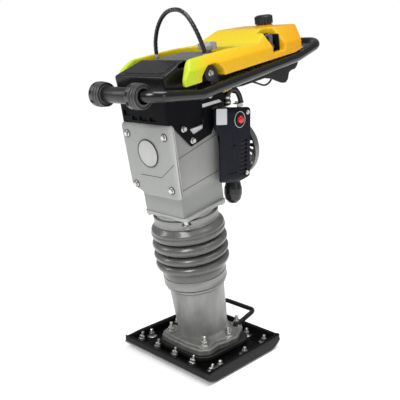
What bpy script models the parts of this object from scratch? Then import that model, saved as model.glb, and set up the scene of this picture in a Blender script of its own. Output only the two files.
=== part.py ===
"""A vibratory rammer (jumping jack): a leg that leans forward on a flat shoe, a crankcase
with an engine behind it, and a sprung handle frame that carries the fuel tank.

Metres, +Z up, -Y forward, +X to the machine's left. The origin is the centre of the sole.
The upper machine and the ram are laid out along the leg: x across, b backward from the
leg's axis, s up along the leg, all under the empty "leg_axis".
"""

import math

import bmesh
import bpy
from mathutils import Vector

# ---------------------------------------------------------------- driving dimensions

GAP = 0.0004  # clearance between touching pieces
LEG_TILT = math.radians(11.0)
LEG_FOOT_Y = 0.0158  # where the leg's axis meets the sole's plane

SHOE_WIDTH = 0.330
SHOE_LENGTH = 0.316
SHOE_DECK_Z = 0.016
SHOE_RIM_Z = 0.037
SOLE_THICKNESS = 0.005
FOOT_TOP_Z = 0.052

RAM_RADIUS_TOP = 0.0775
RAM_RADIUS_FOOT = 0.0695
RAM_TOP_S = 0.2475
RAM_BORE_RADIUS = 0.0560
GUIDE_RADIUS = 0.0550

BELLOWS_INNER = 0.0795
BELLOWS_GROOVE = 0.0885
BELLOWS_CREST = 0.1045

CASE_HALF_WIDTH = 0.0760
CASE_FRONT_B = -0.0735
CASE_REAR_B = 0.0800
CASE_FOOT_S = 0.4433
CASE_TOP_S = 0.7000

CRANK_S = 0.6250  # crank gear's axis
GEAR_MODULE = 0.0025
GEAR_TEETH = 50
PINION_TEETH = 10
ENGINE_S = CRANK_S - GEAR_MODULE * (GEAR_TEETH + PINION_TEETH) / 2
CRANK_THROW = 0.016
ROD_LENGTH = 0.125

PIVOT_B, PIVOT_S = 0.060, 0.798  # the shock mounts that carry the handle frame
TUBE_RADIUS = 0.014
HANDLE_HALF_WIDTH = 0.116
ROLLER_B, ROLLER_S = -0.149, 0.785
ROLLER_X = 0.064
RAIL_INNER_X = 0.0945
LOOP_B = 0.0620  # the lifting loop's plane

TANK_HALF_WIDTH = 0.117
ARM_INNER_X = 0.0938
TANK_FRONT_B = 0.200
TANK_REAR_B = 0.459
CAP_B, CAP_S = 0.415, 0.8560

COWL_HALF_WIDTH = 0.098  # the cowl stands upright, so it is laid out in y and z
COWL_FRONT_Y, COWL_REAR_Y = -0.044, 0.088
COWL_LOW_Z, COWL_HIGH_Z = 0.513, 0.708
BULB_YZ = (0.031, 0.671)
STARTER_RADIUS = 0.087

# ---------------------------------------------------------------- scene and materials


def clear_scene():
    for obj in list(bpy.data.objects):
        bpy.data.objects.remove(obj, do_unlink=True)


clear_scene()
PARTS = bpy.data.collections.new("vibratory_rammer")
CUTTERS = bpy.data.collections.new("cutters")
for collection in (PARTS, CUTTERS):
    bpy.context.scene.collection.children.link(collection)


def material(name, colour, roughness, metallic=0.0):
    made = bpy.data.materials.new(name)
    made.use_nodes = True
    shader = made.node_tree.nodes["Principled BSDF"]
    shader.inputs["Base Color"].default_value = (*colour, 1.0)
    shader.inputs["Roughness"].default_value = roughness
    shader.inputs["Metallic"].default_value = metallic
    return made


YELLOW = material("yellow_plastic", (0.95, 0.52, 0.02), 0.35)
BLACK = material("black_plastic", (0.025, 0.026, 0.030), 0.45)
PAINTED = material("black_painted_steel", (0.02, 0.02, 0.022), 0.35, 0.4)
CASTING = material("grey_casting", (0.56, 0.56, 0.55), 0.5, 0.5)
RAM_GREY = material("grey_ram", (0.28, 0.28, 0.28), 0.45, 0.6)
RUBBER = material("rubber", (0.07, 0.07, 0.07), 0.5)
ROLLER_RUBBER = material("roller_rubber", (0.02, 0.02, 0.02), 0.6)
STEEL = material("steel", (0.62, 0.62, 0.62), 0.3, 1.0)
ALUMINIUM = material("aluminium", (0.70, 0.70, 0.70), 0.4, 1.0)
SMOKE = material("grey_plastic", (0.14, 0.14, 0.15), 0.5)
RED = material("red_plastic", (0.70, 0.02, 0.02), 0.3)
AMBER = material("amber_hose", (0.65, 0.35, 0.05), 0.3)
SOLE_STEEL = material("sole_steel", (0.30, 0.30, 0.30), 0.5, 0.8)

# ---------------------------------------------------------------- placing

FRAME_AT = {}  # each empty's place in the leg's frame


def leg_axis():
    empty = bpy.data.objects.new("leg_axis", None)
    PARTS.objects.link(empty)
    empty.location = (0.0, LEG_FOOT_Y, 0.0)
    empty.rotation_euler = (LEG_TILT, 0.0, 0.0)
    FRAME_AT["leg_axis"] = Vector((0.0, 0.0, 0.0))
    return empty


LEG = leg_axis()


def joint_frame(name, at, parent=LEG):
    """An empty on a joint's axis, at a place in the leg's frame."""
    empty = bpy.data.objects.new(name, None)
    PARTS.objects.link(empty)
    empty.parent = parent
    empty.location = Vector(at) - FRAME_AT[parent.name]
    FRAME_AT[name] = Vector(at)
    return empty


TURNS = {  # how a shape drawn in local x, y with its depth along z is turned
    "x": (0.0, math.radians(90), 0.0),
    "b": (math.radians(-90), 0.0, 0.0),
    "s": (0.0, 0.0, 0.0),
    "side": (math.radians(90), 0.0, math.radians(90)),
    "front": (math.radians(90), 0.0, 0.0),
    "flat": (0.0, 0.0, 0.0),
}


def place(obj, at, turn, parent, look):
    obj.rotation_euler = TURNS[turn] if isinstance(turn, str) else turn
    if parent is None:
        obj.location = at
    else:
        obj.parent = parent
        obj.location = Vector(at) - FRAME_AT[parent.name]
    if look is None:
        CUTTERS.objects.link(obj)
        obj.hide_render = True
        obj.display_type = "WIRE"
    else:
        PARTS.objects.link(obj)
        obj.data.materials.append(look)
    return obj


# ---------------------------------------------------------------- shapes


def from_bmesh(name, bm):
    mesh = bpy.data.meshes.new(name)
    bm.to_mesh(mesh)
    bm.free()
    return bpy.data.objects.new(name, mesh)


def add_bevel(obj, width, segments=1):
    bevel = obj.modifiers.new("bevel", "BEVEL")
    bevel.width = width
    bevel.segments = segments
    bevel.limit_method = "ANGLE"
    bevel.angle_limit = math.radians(40)


def block(name, low, high, look=None, parent=LEG, bevel=0.0, segments=1):
    """A box between two corners, in the parent's drawing frame."""
    low, high = Vector(low), Vector(high)
    bm = bmesh.new()
    bmesh.ops.create_cube(bm, size=1.0)
    bmesh.ops.scale(bm, vec=high - low, verts=bm.verts)
    obj = place(from_bmesh(name, bm), (low + high) / 2, "flat", parent, look)
    if bevel:
        add_bevel(obj, bevel, segments)
    return obj


def rod(
    name,
    radius,
    length,
    centre,
    turn,
    look=None,
    parent=LEG,
    sides=20,
    bevel=0.0,
    end_radius=None,
):
    bm = bmesh.new()
    bmesh.ops.create_cone(
        bm,
        cap_ends=True,
        segments=sides,
        radius1=radius,
        radius2=radius if end_radius is None else end_radius,
        depth=length,
    )
    obj = place(from_bmesh(name, bm), centre, turn, parent, look)
    if bevel:
        add_bevel(obj, bevel)
    smooth(obj)
    return obj


def smooth(obj):
    obj.data.shade_smooth()
    obj.data.set_sharp_from_angle(angle=math.radians(35))


def turned(name, profile, at, turn, look=None, parent=LEG, sides=32):
    """A closed profile of (radius, height) points, down the outside and back, swept round."""
    bm = bmesh.new()
    verts = [bm.verts.new((radius, 0.0, height)) for radius, height in profile]
    for first, second in zip(verts, verts[1:]):
        bm.edges.new((first, second))
    if profile[0][0] > 0.0:
        bm.edges.new((verts[-1], verts[0]))
    obj = place(from_bmesh(name, bm), at, turn, parent, look)
    screw = obj.modifiers.new("turn", "SCREW")
    screw.steps = sides
    screw.render_steps = sides
    screw.use_merge_vertices = True
    screw.merge_threshold = 1e-5
    screw.use_smooth_shade = False
    return obj


def ring(name, outer, inner, length, centre, turn, look=None, parent=LEG, sides=32):
    half = length / 2
    profile = [(outer, half), (outer, -half), (inner, -half), (inner, half)]
    return turned(name, profile, centre, turn, look, parent, sides)


def as_mesh(obj):
    """The mesh of a curve object, with its caps welded, in the same place."""
    graph = bpy.context.evaluated_depsgraph_get()
    mesh = bpy.data.meshes.new_from_object(obj.evaluated_get(graph))
    bm = bmesh.new()
    bm.from_mesh(mesh)
    bmesh.ops.remove_doubles(bm, verts=bm.verts, dist=1e-6)
    bmesh.ops.recalc_face_normals(bm, faces=bm.faces)
    bm.to_mesh(mesh)
    bm.free()
    name = obj.name
    bpy.data.objects.remove(obj)
    made = bpy.data.objects.new(name, mesh)
    made.name = name
    return made


def plate(name, outlines, thickness, centre, turn, look=None, parent=LEG, bevel=0.0, segments=1):
    """A flat sheet: the first outline is its edge, and the others are holes in it."""
    curve = bpy.data.curves.new(name, "CURVE")
    curve.dimensions = "2D"
    curve.fill_mode = "BOTH"
    curve.extrude = thickness / 2
    for outline in outlines:
        spline = curve.splines.new("POLY")
        spline.points.add(len(outline) - 1)
        for point, (u, v) in zip(spline.points, outline):
            point.co = (u, v, 0.0, 1.0)
        spline.use_cyclic_u = True
    drawn = bpy.data.objects.new(name, curve)
    bpy.context.scene.collection.objects.link(drawn)
    obj = place(as_mesh(drawn), centre, turn, parent, look)
    if bevel:
        add_bevel(obj, bevel, segments)
    return obj


def tube(name, points, radius, look, parent=LEG, closed=False, sides=2):
    """A round bar along points given in the leg's frame."""
    origin = Vector((0, 0, 0)) if parent is None else FRAME_AT[parent.name]
    curve = bpy.data.curves.new(name, "CURVE")
    curve.dimensions = "3D"
    curve.bevel_depth = radius
    curve.bevel_resolution = sides
    curve.use_fill_caps = not closed
    spline = curve.splines.new("POLY")
    spline.points.add(len(points) - 1)
    for point, at in zip(spline.points, points):
        point.co = (*(Vector(at) - origin), 1.0)
    spline.use_cyclic_u = closed
    drawn = bpy.data.objects.new(name, curve)
    return place(drawn, origin, "flat", parent, look)


def cut(target, *cutters):
    for cutter in cutters:
        boolean = target.modifiers.new("cut_" + cutter.name, "BOOLEAN")
        boolean.operation = "DIFFERENCE"
        boolean.object = cutter


def join(target, *pieces):
    for piece in pieces:
        boolean = target.modifiers.new("join_" + piece.name, "BOOLEAN")
        boolean.operation = "UNION"
        boolean.object = piece


def rounded(corners, steps=4, cyclic=True):
    """An outline through (point, radius) corners, with an arc of that radius at each."""
    points = []
    count = len(corners)
    for i, (here, radius) in enumerate(corners):
        here = Vector(here)
        if not radius or (not cyclic and i in (0, count - 1)):
            points.append(here)
            continue
        before = (Vector(corners[i - 1][0]) - here).normalized()
        after = (Vector(corners[(i + 1) % count][0]) - here).normalized()
        half = before.angle(after) / 2
        reach = radius / math.tan(half)
        centre = here + (before + after).normalized() * radius / math.sin(half)
        start = here + before * reach - centre
        end = here + after * reach - centre
        for k in range(steps + 1):
            points.append(centre + arc(start, end, k / steps))
    return points


def arc(start, end, share):
    """A share of the way along the arc between two spokes of one circle."""
    angle = start.angle(end)
    if angle < 1e-6:
        return start.copy()
    return (start * math.sin((1 - share) * angle) + end * math.sin(share * angle)) / math.sin(angle)


def circle(centre, radius, count=16):
    return [
        (
            centre[0] + radius * math.cos(2 * math.pi * k / count),
            centre[1] + radius * math.sin(2 * math.pi * k / count),
        )
        for k in range(count)
    ]


def smooth_path(points, per_span=4):
    """Points on a smooth curve through the given ones (Catmull-Rom)."""
    points = [Vector(p) for p in points]
    ends = [2 * points[0] - points[1], *points, 2 * points[-1] - points[-2]]
    path = []
    for a, b, c, d in zip(ends, ends[1:], ends[2:], ends[3:]):
        for k in range(per_span):
            t = k / per_span
            path.append(
                0.5 * (
                    2 * b + (c - a) * t + (2 * a - 5 * b + 4 * c - d) * t**2 + (3 * b - a - 3 * c + d) * t**3
                )
            )
    path.append(points[-1])
    return path


# ---------------------------------------------------------------- shoe and ram


def build_shoe():
    under = [
        ((-0.158, 0.017), 0.0),
        ((-0.126, 0.0), 0.045),
        ((0.126, 0.0), 0.045),
        ((0.158, 0.024), 0.0),
    ]
    lift = SOLE_THICKNESS
    upper_side = [((y, z + lift), radius) for (y, z), radius in reversed(under)]
    plate(
        "sole_plate", [rounded(under + upper_side)], SHOE_WIDTH, (0, 0, 0), "side", SOLE_STEEL, None
    )

    base = lift + GAP
    outer = [((y, z + base), radius) for (y, z), radius in under]
    outer += [
        ((0.158, SHOE_RIM_Z + 0.004), 0.0),
        ((0.120, SHOE_RIM_Z), 0.03),
        ((-0.110, SHOE_RIM_Z - 0.003), 0.03),
        ((-0.158, 0.034), 0.0),
    ]
    pan = plate("shoe_pan", [rounded(outer)], SHOE_WIDTH, (0, 0, 0), "side", PAINTED, None)
    pocket = [
        ((-0.149, 0.060), 0.0),
        ((-0.149, 0.033), 0.0),
        ((-0.100, SHOE_DECK_Z), 0.03),
        ((0.116, SHOE_DECK_Z), 0.03),
        ((0.149, 0.040), 0.0),
        ((0.149, 0.060), 0.0),
    ]
    cut(
        pan,
        plate("pan_pocket", [rounded(pocket)], SHOE_WIDTH - 0.018, (0, 0, 0), "side", None, None),
    )

    pad_corners = ((-0.098, -0.090), (0.098, -0.090), (0.098, 0.109), (-0.098, 0.109))
    pad = rounded([((x, y), 0.05) for x, y in pad_corners])
    pad_low, pad_high = SHOE_DECK_Z + GAP, 0.036
    plate(
        "damping_pad",
        [pad],
        pad_high - pad_low,
        (0, 0, (pad_low + pad_high) / 2),
        "flat",
        BLACK,
        None,
        0.003,
    )


def build_ram():
    """The lower cylinder: a tapered casting with a bore, on a flange that lies flat on the shoe."""
    foot_low = 0.036 + GAP
    corners = [
        ((x, y), 0.045)
        for x, y in ((-0.088, -0.084), (0.088, -0.084), (0.088, 0.106), (-0.088, 0.106))
    ]
    ram = plate(
        "ram_cylinder",
        [rounded(corners)],
        FOOT_TOP_Z - foot_low,
        (0, 0, (foot_low + FOOT_TOP_Z) / 2),
        "flat",
        RAM_GREY,
        None,
        0.004,
    )
    shell = turned(
        "ram_barrel",
        [
            (0.0, RAM_TOP_S),
            (RAM_RADIUS_TOP - 0.002, RAM_TOP_S),
            (RAM_RADIUS_TOP - 0.001, 0.216),
            (0.0800, 0.2155),
            (0.0800, 0.2085),
            (RAM_RADIUS_TOP, 0.2075),
            (0.0725, 0.115),
            (RAM_RADIUS_FOOT, 0.072),
            (0.0760, 0.040),
            (0.0, 0.040),
        ],
        (0, 0, 0),
        "s",
        None,
    )
    below = block("ram_trim_below", (-0.2, -0.2, -0.1), (0.2, 0.2, foot_low), None, None)
    cut(shell, below)
    join(ram, shell)
    bore = rod("ram_bore", RAM_BORE_RADIUS, 0.30, (0, 0, 0.075 + 0.15), "s", sides=32)
    cut(ram, bore)

    bar_z, foot_z = 0.082, FOOT_TOP_Z + 0.0058
    left_half = [
        ((0.048, 0.086, foot_z), 0.0),
        ((0.052, 0.108, foot_z), 0.012),
        ((0.060, 0.166, bar_z), 0.012),
    ]
    corners = left_half + [((-x, y, z), radius) for (x, y, z), radius in reversed(left_half)]
    tube("grab_bar", rounded(corners, 4, cyclic=False), 0.0052, PAINTED, None, sides=3)


def build_bellows():
    low, high = 0.2185, 0.4395
    grooves = [0.265, 0.296, 0.327, 0.357, 0.410]
    crests = [0.2795, 0.3115, 0.342, 0.384]
    cuff = BELLOWS_GROOVE - 0.002
    outer = [(cuff, high), (cuff, 0.4125)]
    for groove, crest in zip(reversed(grooves[1:]), reversed(crests)):
        outer.append((BELLOWS_GROOVE, groove))
        spread = 0.0165 if crest > 0.37 else 0.0085
        for share in (0.95, 0.4, -0.4, -0.95):
            bulge = math.sqrt(max(0.0, 1 - share * share * 0.75))
            outer.append(
                (BELLOWS_GROOVE + (BELLOWS_CREST - BELLOWS_GROOVE) * bulge, crest + share * spread)
            )
    outer += [(BELLOWS_GROOVE, grooves[0]), (cuff, 0.247), (cuff, low)]
    sleeve = RAM_RADIUS_TOP + 0.0020
    inner = [(sleeve, low), (sleeve + 0.0010, 0.2620)]
    for crest in crests:
        inner += [(BELLOWS_CREST - 0.006, crest)]
        inner += [(BELLOWS_INNER + 0.0045, crest + (0.026 if crest > 0.37 else 0.0155))]
    inner[-1] = (BELLOWS_INNER + 0.0025, 0.412)
    inner += [(BELLOWS_INNER + 0.0025, high)]
    turned("bellows", outer + inner, (0, 0, 0), "s", RUBBER, sides=24)
    ring("lower_clamp", 0.0888, 0.0872, 0.026, (0, 0, 0.2325), "s", STEEL)
    ring("upper_clamp", 0.0895, 0.0872, 0.024, (0, 0, 0.4260), "s", STEEL)


def coil(name, radius, wire, low, high, turns, per_turn=9):
    count = turns * per_turn
    points = [
        (
            radius * math.cos(2 * math.pi * k / per_turn),
            radius * math.sin(2 * math.pi * k / per_turn),
            low + wire + (high - low - 2 * wire) * k / count,
        )
        for k in range(count + 1)
    ]
    tube(name, points, wire, STEEL, LEG, sides=0)


def build_percussion():
    """Inside the leg: the guide under the crankcase, the plunger and the two impact springs."""
    top = CASE_FOOT_S - GAP
    turned(
        "guide_cylinder",
        [
            (0.0812, top),
            (0.0812, 0.4080),
            (0.0580, 0.4000),
            (GUIDE_RADIUS, 0.3900),
            (GUIDE_RADIUS, 0.1250),
            (0.0495, 0.1250),
            (0.0495, 0.4150),
            (0.0460, 0.4200),
            (0.0460, top),
        ],
        (0, 0, 0),
        "s",
        CASTING,
        sides=32,
    )
    axis = joint_frame("plunger_axis", (0, 0, 0.3))
    turned(
        "plunger",
        [
            (0.0, 0.4470),
            (0.0110, 0.4470),
            (0.0110, 0.2500),
            (0.0470, 0.2450),
            (0.0470, 0.2300),
            (0.0110, 0.2250),
            (0.0110, 0.2050),
            (0.0, 0.2050),
        ],
        (0, 0, 0),
        "s",
        STEEL,
        axis,
        sides=20,
    )
    coil("lower_spring", 0.038, 0.005, 0.0765, 0.2240, 4)
    coil("upper_spring", 0.034, 0.0045, 0.2515, 0.3990, 4)


# ---------------------------------------------------------------- crankcase


def build_crankcase():
    half = CASE_HALF_WIDTH
    outline = rounded(
        [
            ((-half, CASE_TOP_S), 0.008),
            ((-half, 0.520), 0.0),
            ((-0.0700, 0.500), 0.0),
            ((-0.0700, CASE_FOOT_S), 0.0),
            ((0.0700, CASE_FOOT_S), 0.0),
            ((0.0700, 0.500), 0.0),
            ((half, 0.520), 0.0),
            ((half, CASE_TOP_S), 0.008),
        ],
        3,
    )
    depth = CASE_REAR_B - CASE_FRONT_B
    middle = (CASE_REAR_B + CASE_FRONT_B) / 2
    case = plate("crankcase", [outline], depth, (0, middle, 0), "front", CASTING)
    flange_corners = ((-0.079, -0.076), (0.079, -0.076), (0.079, 0.083), (-0.079, 0.083))
    flange = rounded([((x, b), 0.014) for x, b in flange_corners])
    join(case, plate("case_flange", [flange], 0.0100, (0, 0, CASE_FOOT_S + 0.0050), "flat"))
    for side in (-1, 1):
        ridge = [(-0.070, 0.6090), (0.070, 0.6330), (0.070, 0.6345), (-0.070, 0.6105)]
        join(case, plate(f"case_ridge_{side}", [ridge], 0.004, (side * half, 0, 0), "side"))
    cut(
        case,
        block("gear_chamber", (-0.0690, -0.20, 0.4980), (0.0690, 0.0540, 0.6940), bevel=0.01),
        rod("plunger_hole", 0.0440, 0.20, (0, 0, 0.45), "s", sides=28),
        rod("crank_bearing_seat", 0.0205, 0.060, (0, 0.0735, CRANK_S), "b", sides=24),
        rod("pinion_hole", 0.0165, 0.080, (0, 0.0700, ENGINE_S), "b", sides=24),
    )

    cover_outline = rounded(
        [
            ((-0.092, CASE_TOP_S), 0.014),
            ((-0.0895, 0.5180), 0.014),
            ((0.0895, 0.5180), 0.014),
            ((0.092, CASE_TOP_S), 0.014),
        ],
        3,
    )
    front, back = -0.0976, CASE_FRONT_B - GAP
    cover = plate(
        "crankcase_cover",
        [cover_outline],
        back - front,
        (0, (front + back) / 2, 0),
        "front",
        CASTING,
    )
    add_bevel(cover, 0.009)
    join(cover, rod("cover_boss", 0.036, 0.008, (0, front + 0.0028, CRANK_S), "b", sides=36))
    for i, (x, s) in enumerate(
        ((-0.068, 0.6725), (0.068, 0.6725), (-0.066, 0.5365), (0.066, 0.5365)), 1
    ):
        rod(f"cover_bolt_{i}", 0.0075, 0.0060, (x, front - GAP - 0.0030, s), "b", STEEL, sides=6)


def gear_outline(teeth, module, phase=0.0):
    """A straight-sided tooth form, slim enough to run free of its mate."""
    points = []
    pitch_radius = module * teeth / 2
    for tooth in range(teeth):
        middle = 2 * math.pi * tooth / teeth + phase
        for radius, share in ((-1.25, -0.30), (0.80, -0.105), (0.80, 0.105), (-1.25, 0.30)):
            angle = middle + 2 * math.pi * share / teeth
            reach = pitch_radius + radius * module
            points.append((reach * math.cos(angle), reach * math.sin(angle)))
    return points


def build_gears():
    crank = joint_frame("crank_axis", (0, 0, CRANK_S))
    gear = plate(
        "crank_gear",
        [gear_outline(GEAR_TEETH, GEAR_MODULE, math.pi / 2)],
        0.018,
        (0, 0.0220, CRANK_S),
        "front",
        STEEL,
        crank,
    )
    join(
        gear,
        rod("crank_shaft", 0.012, 0.052, (0, 0.0490, CRANK_S), "b"),
        rod("crank_pin", 0.007, 0.030, (0, 0.0020, CRANK_S + CRANK_THROW), "b", sides=16),
    )
    ring("crank_bearing", 0.0200, 0.0124, 0.014, (0, 0.0640, CRANK_S), "b", STEEL, sides=24)

    eye = joint_frame("rod_axis", (0, 0, CRANK_S + CRANK_THROW), crank)
    big_end, small_end = CRANK_S + CRANK_THROW, CRANK_S + CRANK_THROW - ROD_LENGTH
    conrod = plate(
        "connecting_rod",
        [[(-0.006, small_end), (0.006, small_end), (0.009, big_end), (-0.009, big_end)]],
        0.012,
        (0, 0.0, 0),
        "front",
        STEEL,
        eye,
    )
    join(
        conrod,
        rod("big_end", 0.016, 0.016, (0, 0, big_end), "b"),
        rod("small_end", 0.011, 0.016, (0, 0, small_end), "b"),
    )
    cut(
        conrod,
        rod("big_eye", 0.0072, 0.04, (0, 0, big_end), "b", sides=16),
        rod("small_eye", 0.0060, 0.04, (0, 0, small_end), "b", sides=16),
    )

    shaft = joint_frame("engine_axis", (0, 0.1, ENGINE_S))
    half_tooth = math.pi / PINION_TEETH
    pinion = plate(
        "drive_pinion",
        [gear_outline(PINION_TEETH, GEAR_MODULE, math.pi / 2 + half_tooth)],
        0.022,
        (0, 0.0220, ENGINE_S),
        "front",
        STEEL,
        shaft,
    )
    join(
        pinion,
        rod("pinion_shaft", 0.0088, 0.066, (0, 0.0560, ENGINE_S), "b"),
        rod("drum_floor", 0.0385, 0.0030, (0, 0.0875, ENGINE_S), "b", sides=28),
        ring("drum_wall", 0.0400, 0.0370, 0.0240, (0, 0.0984, ENGINE_S), "b", sides=28),
    )
    ring("pinion_bearing", 0.0160, 0.0092, 0.012, (0, 0.0640, ENGINE_S), "b", STEEL, sides=24)

    crankshaft = rod(
        "engine_crankshaft", 0.0080, 0.118, (0, 0.1555, ENGINE_S), "b", STEEL, shaft, sides=16
    )
    join(
        crankshaft,
        rod("clutch_hub", 0.0335, 0.014, (0, 0.0995, ENGINE_S), "b", sides=24),
        rod("flywheel", 0.0580, 0.010, (0, 0.1980, ENGINE_S), "b", sides=28),
    )
    for k in range(8):
        angle = 2 * math.pi * k / 8
        blade = block(
            f"fan_blade_{k}", (-0.0012, -0.006, 0.022), (0.0012, 0.006, 0.056), parent=None
        )
        blade.parent = shaft
        blade.rotation_euler = (0.0, angle, 0.0)
        blade.location = (0.0, 0.1070, 0.0)
        join(crankshaft, blade)


# ---------------------------------------------------------------- engine


def build_engine():
    bore_b = 0.146
    block_low = (-0.046, 0.118, 0.5065)
    engine = block("engine_block", block_low, (0.046, 0.1875, 0.5980), ALUMINIUM, bevel=0.012)
    join(engine, rod("cylinder_barrel", 0.030, 0.105, (0, bore_b, 0.6450), "s", sides=24))
    for k in range(6):
        fin = block(
            f"fin_{k}",
            (-0.050, bore_b - 0.036, 0.612 + 0.0145 * k),
            (0.050, bore_b + 0.036, 0.6165 + 0.0145 * k),
            bevel=0.006,
        )
        join(engine, fin)
    cut(engine, rod("shaft_hole", 0.0086, 0.20, (0, 0.15, ENGINE_S), "b", sides=16))

    turned(
        "spark_plug",
        [
            (0.0, 0.7265),
            (0.0035, 0.7265),
            (0.0045, 0.7120),
            (0.0095, 0.7110),
            (0.0095, 0.7030),
            (0.0070, 0.7025),
            (0.0070, 0.6980),
            (0.0, 0.6980),
        ],
        (0, bore_b, 0),
        "s",
        STEEL,
        sides=12,
    )
    turned(
        "plug_boot",
        [
            (0.0080, 0.7400),
            (0.0100, 0.7350),
            (0.0090, 0.7135),
            (0.0052, 0.7135),
            (0.0042, 0.7290),
            (0.0, 0.7290),
            (0.0, 0.7400),
        ],
        (0, bore_b, 0),
        "s",
        RUBBER,
        sides=16,
    )

    lead = [
        (0.0108, bore_b, 0.7340),
        (0.022, bore_b + 0.001, 0.7370),
        (0.042, bore_b + 0.012, 0.7420),
        (0.060, bore_b + 0.030, 0.7340),
        (0.069, bore_b + 0.046, 0.7120),
        (0.071, bore_b + 0.052, 0.6850),
    ]
    tube("ignition_lead", smooth_path(lead, 3), 0.0060, RUBBER)

    skins = []
    for wall, radius in ((0.0, 0.012), (0.0040, 0.008)):
        half = COWL_HALF_WIDTH - wall
        low, high = COWL_LOW_Z + wall, COWL_HIGH_Z - wall
        corners = [(half, low), (half, high), (-half, high), (-half, low)]
        skins.append(rounded([(corner, radius) for corner in corners], 3))
    depth = COWL_REAR_Y - COWL_FRONT_Y
    middle = (0.0, COWL_FRONT_Y + depth / 2, 0.0)
    cowl = plate("engine_cowl", skins, depth, middle, "front", BLACK, None)
    bulb_y, bulb_z = BULB_YZ
    join(
        cowl,
        rod("primer_seat", 0.0165, 0.012, (0.0940, bulb_y, bulb_z), "x", parent=None, sides=24),
    )
    join(cowl, block("cowl_wing", (0.0940, -0.0620, 0.6480), (0.0980, -0.0420, 0.7050), parent=None))
    for k in range(8):
        z = 0.5250 + 0.0122 * k
        cut(cowl, block(f"louvre_{k}", (0.070, 0.040, z), (0.110, 0.070, z + 0.0055), parent=None))
    cut(
        cowl,
        rod("bulb_hole", 0.0106, 0.05, (0.094, bulb_y, bulb_z), "x", parent=None, sides=20),
        block("cowl_top_window", (-0.060, -0.20, 0.690), (0.088, 0.20, 0.730), parent=None),
        block("cowl_case_notch", (-0.0800, -0.20, 0.490), (0.0800, 0.0080, 0.5300), parent=None),
        block("short_slot_1", (0.070, -0.012, 0.6035), (0.110, 0.010, 0.6065), parent=None),
        block("short_slot_2", (0.070, -0.005, 0.5285), (0.110, 0.018, 0.5315), parent=None),
    )

    starter = turned(
        "starter_housing",
        [
            (0.0, 0.0380),
            (0.0400, 0.0365),
            (0.0660, 0.0300),
            (0.0800, 0.0180),
            (STARTER_RADIUS, 0.0),
            (STARTER_RADIUS - 0.004, 0.0),
            (0.0765, 0.0160),
            (0.0635, 0.0265),
            (0.0390, 0.0325),
            (0.0, 0.0340),
        ],
        (0, 0.2150, ENGINE_S),
        "b",
        ALUMINIUM,
        sides=28,
    )
    grip_x, grip_s = -0.045, ENGINE_S
    cut(starter, rod("rope_guide_hole", 0.0045, 0.05, (grip_x, 0.250, grip_s), "b", sides=12))

    pulley_axis = joint_frame("pulley_axis", (0, 0.2290, ENGINE_S))
    turned(
        "starter_pulley",
        [
            (0.0360, 0.0050),
            (0.0360, 0.0030),
            (0.0300, 0.0025),
            (0.0300, -0.0025),
            (0.0360, -0.0030),
            (0.0360, -0.0050),
            (0.0060, -0.0050),
            (0.0060, 0.0050),
        ],
        (0, 0.2290, ENGINE_S),
        "b",
        BLACK,
        pulley_axis,
        sides=24,
    )
    grip_axis = joint_frame("grip_axis", (grip_x, 0.2720, grip_s))
    grip_low = (grip_x - 0.040, 0.262, grip_s - 0.010)
    grip_high = (grip_x + 0.040, 0.282, grip_s + 0.010)
    block("starter_grip", grip_low, grip_high, BLACK, grip_axis, bevel=0.008, segments=2)
    rod("starter_rope", 0.0025, 0.0215, (grip_x, 0.2505, grip_s), "b", RUBBER, grip_axis, sides=8)


def build_fuel_and_intake():
    carb = block(
        "carburettor", (-0.022, 0.0740, 0.7155), (0.022, 0.1020, 0.7440), ALUMINIUM, bevel=0.004
    )
    join(carb, rod("float_bowl", 0.014, 0.016, (0, 0.088, 0.7100), "s", sides=20))
    bulb_y, bulb_z = BULB_YZ
    turned(
        "primer_bulb",
        [
            (0.0, 0.0110),
            (0.0055, 0.0098),
            (0.0092, 0.0060),
            (0.0102, 0.0),
            (0.0102, -0.0080),
            (0.0, -0.0080),
        ],
        (0.0985, bulb_y, bulb_z),
        "x",
        RED,
        None,
        sides=20,
    )

    hose = [
        (0.060, 0.245, 0.7850),
        (0.062, 0.243, 0.7700),
        (0.072, 0.225, 0.7540),
        (0.084, 0.195, 0.7490),
        (0.086, 0.150, 0.7410),
        (0.076, 0.115, 0.7340),
        (0.048, 0.092, 0.7300),
        (0.034, 0.088, 0.7300),
        (0.0226, 0.088, 0.7300),
    ]
    tube("fuel_hose", smooth_path(hose, 3), 0.0035, AMBER)
    cable = [
        (0.075, 0.318, 0.7830),
        (0.078, 0.334, 0.7600),
        (0.078, 0.326, 0.7240),
        (0.077, 0.296, 0.7120),
        (0.070, 0.258, 0.7280),
        (0.048, 0.222, 0.7430),
        (0.010, 0.192, 0.7480),
        (-0.024, 0.165, 0.7460),
        (-0.044, 0.128, 0.7410),
        (-0.040, 0.100, 0.7370),
        (-0.031, 0.096, 0.7370),
        (-0.0226, 0.096, 0.7370),
    ]
    tube("throttle_cable", smooth_path(cable, 2), 0.0028, RUBBER, sides=1)

    under_cowl = COWL_LOW_Z - GAP
    turned(
        "lower_bumper",
        [
            (0.0, 0.0),
            (0.0190, 0.0),
            (0.0225, -0.0200),
            (0.0250, -0.0400),
            (0.0225, -0.0600),
            (0.0140, -0.0720),
            (0.0, -0.0760),
        ],
        (0.062, 0.0570, under_cowl),
        "s",
        RUBBER,
        None,
        sides=20,
    )
    rod(
        "muffler",
        0.026,
        0.052,
        (-0.050, 0.0600, under_cowl - 0.026),
        "s",
        STEEL,
        None,
        sides=20,
        bevel=0.005,
    )


# ---------------------------------------------------------------- console, hood, lifting loop


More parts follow.
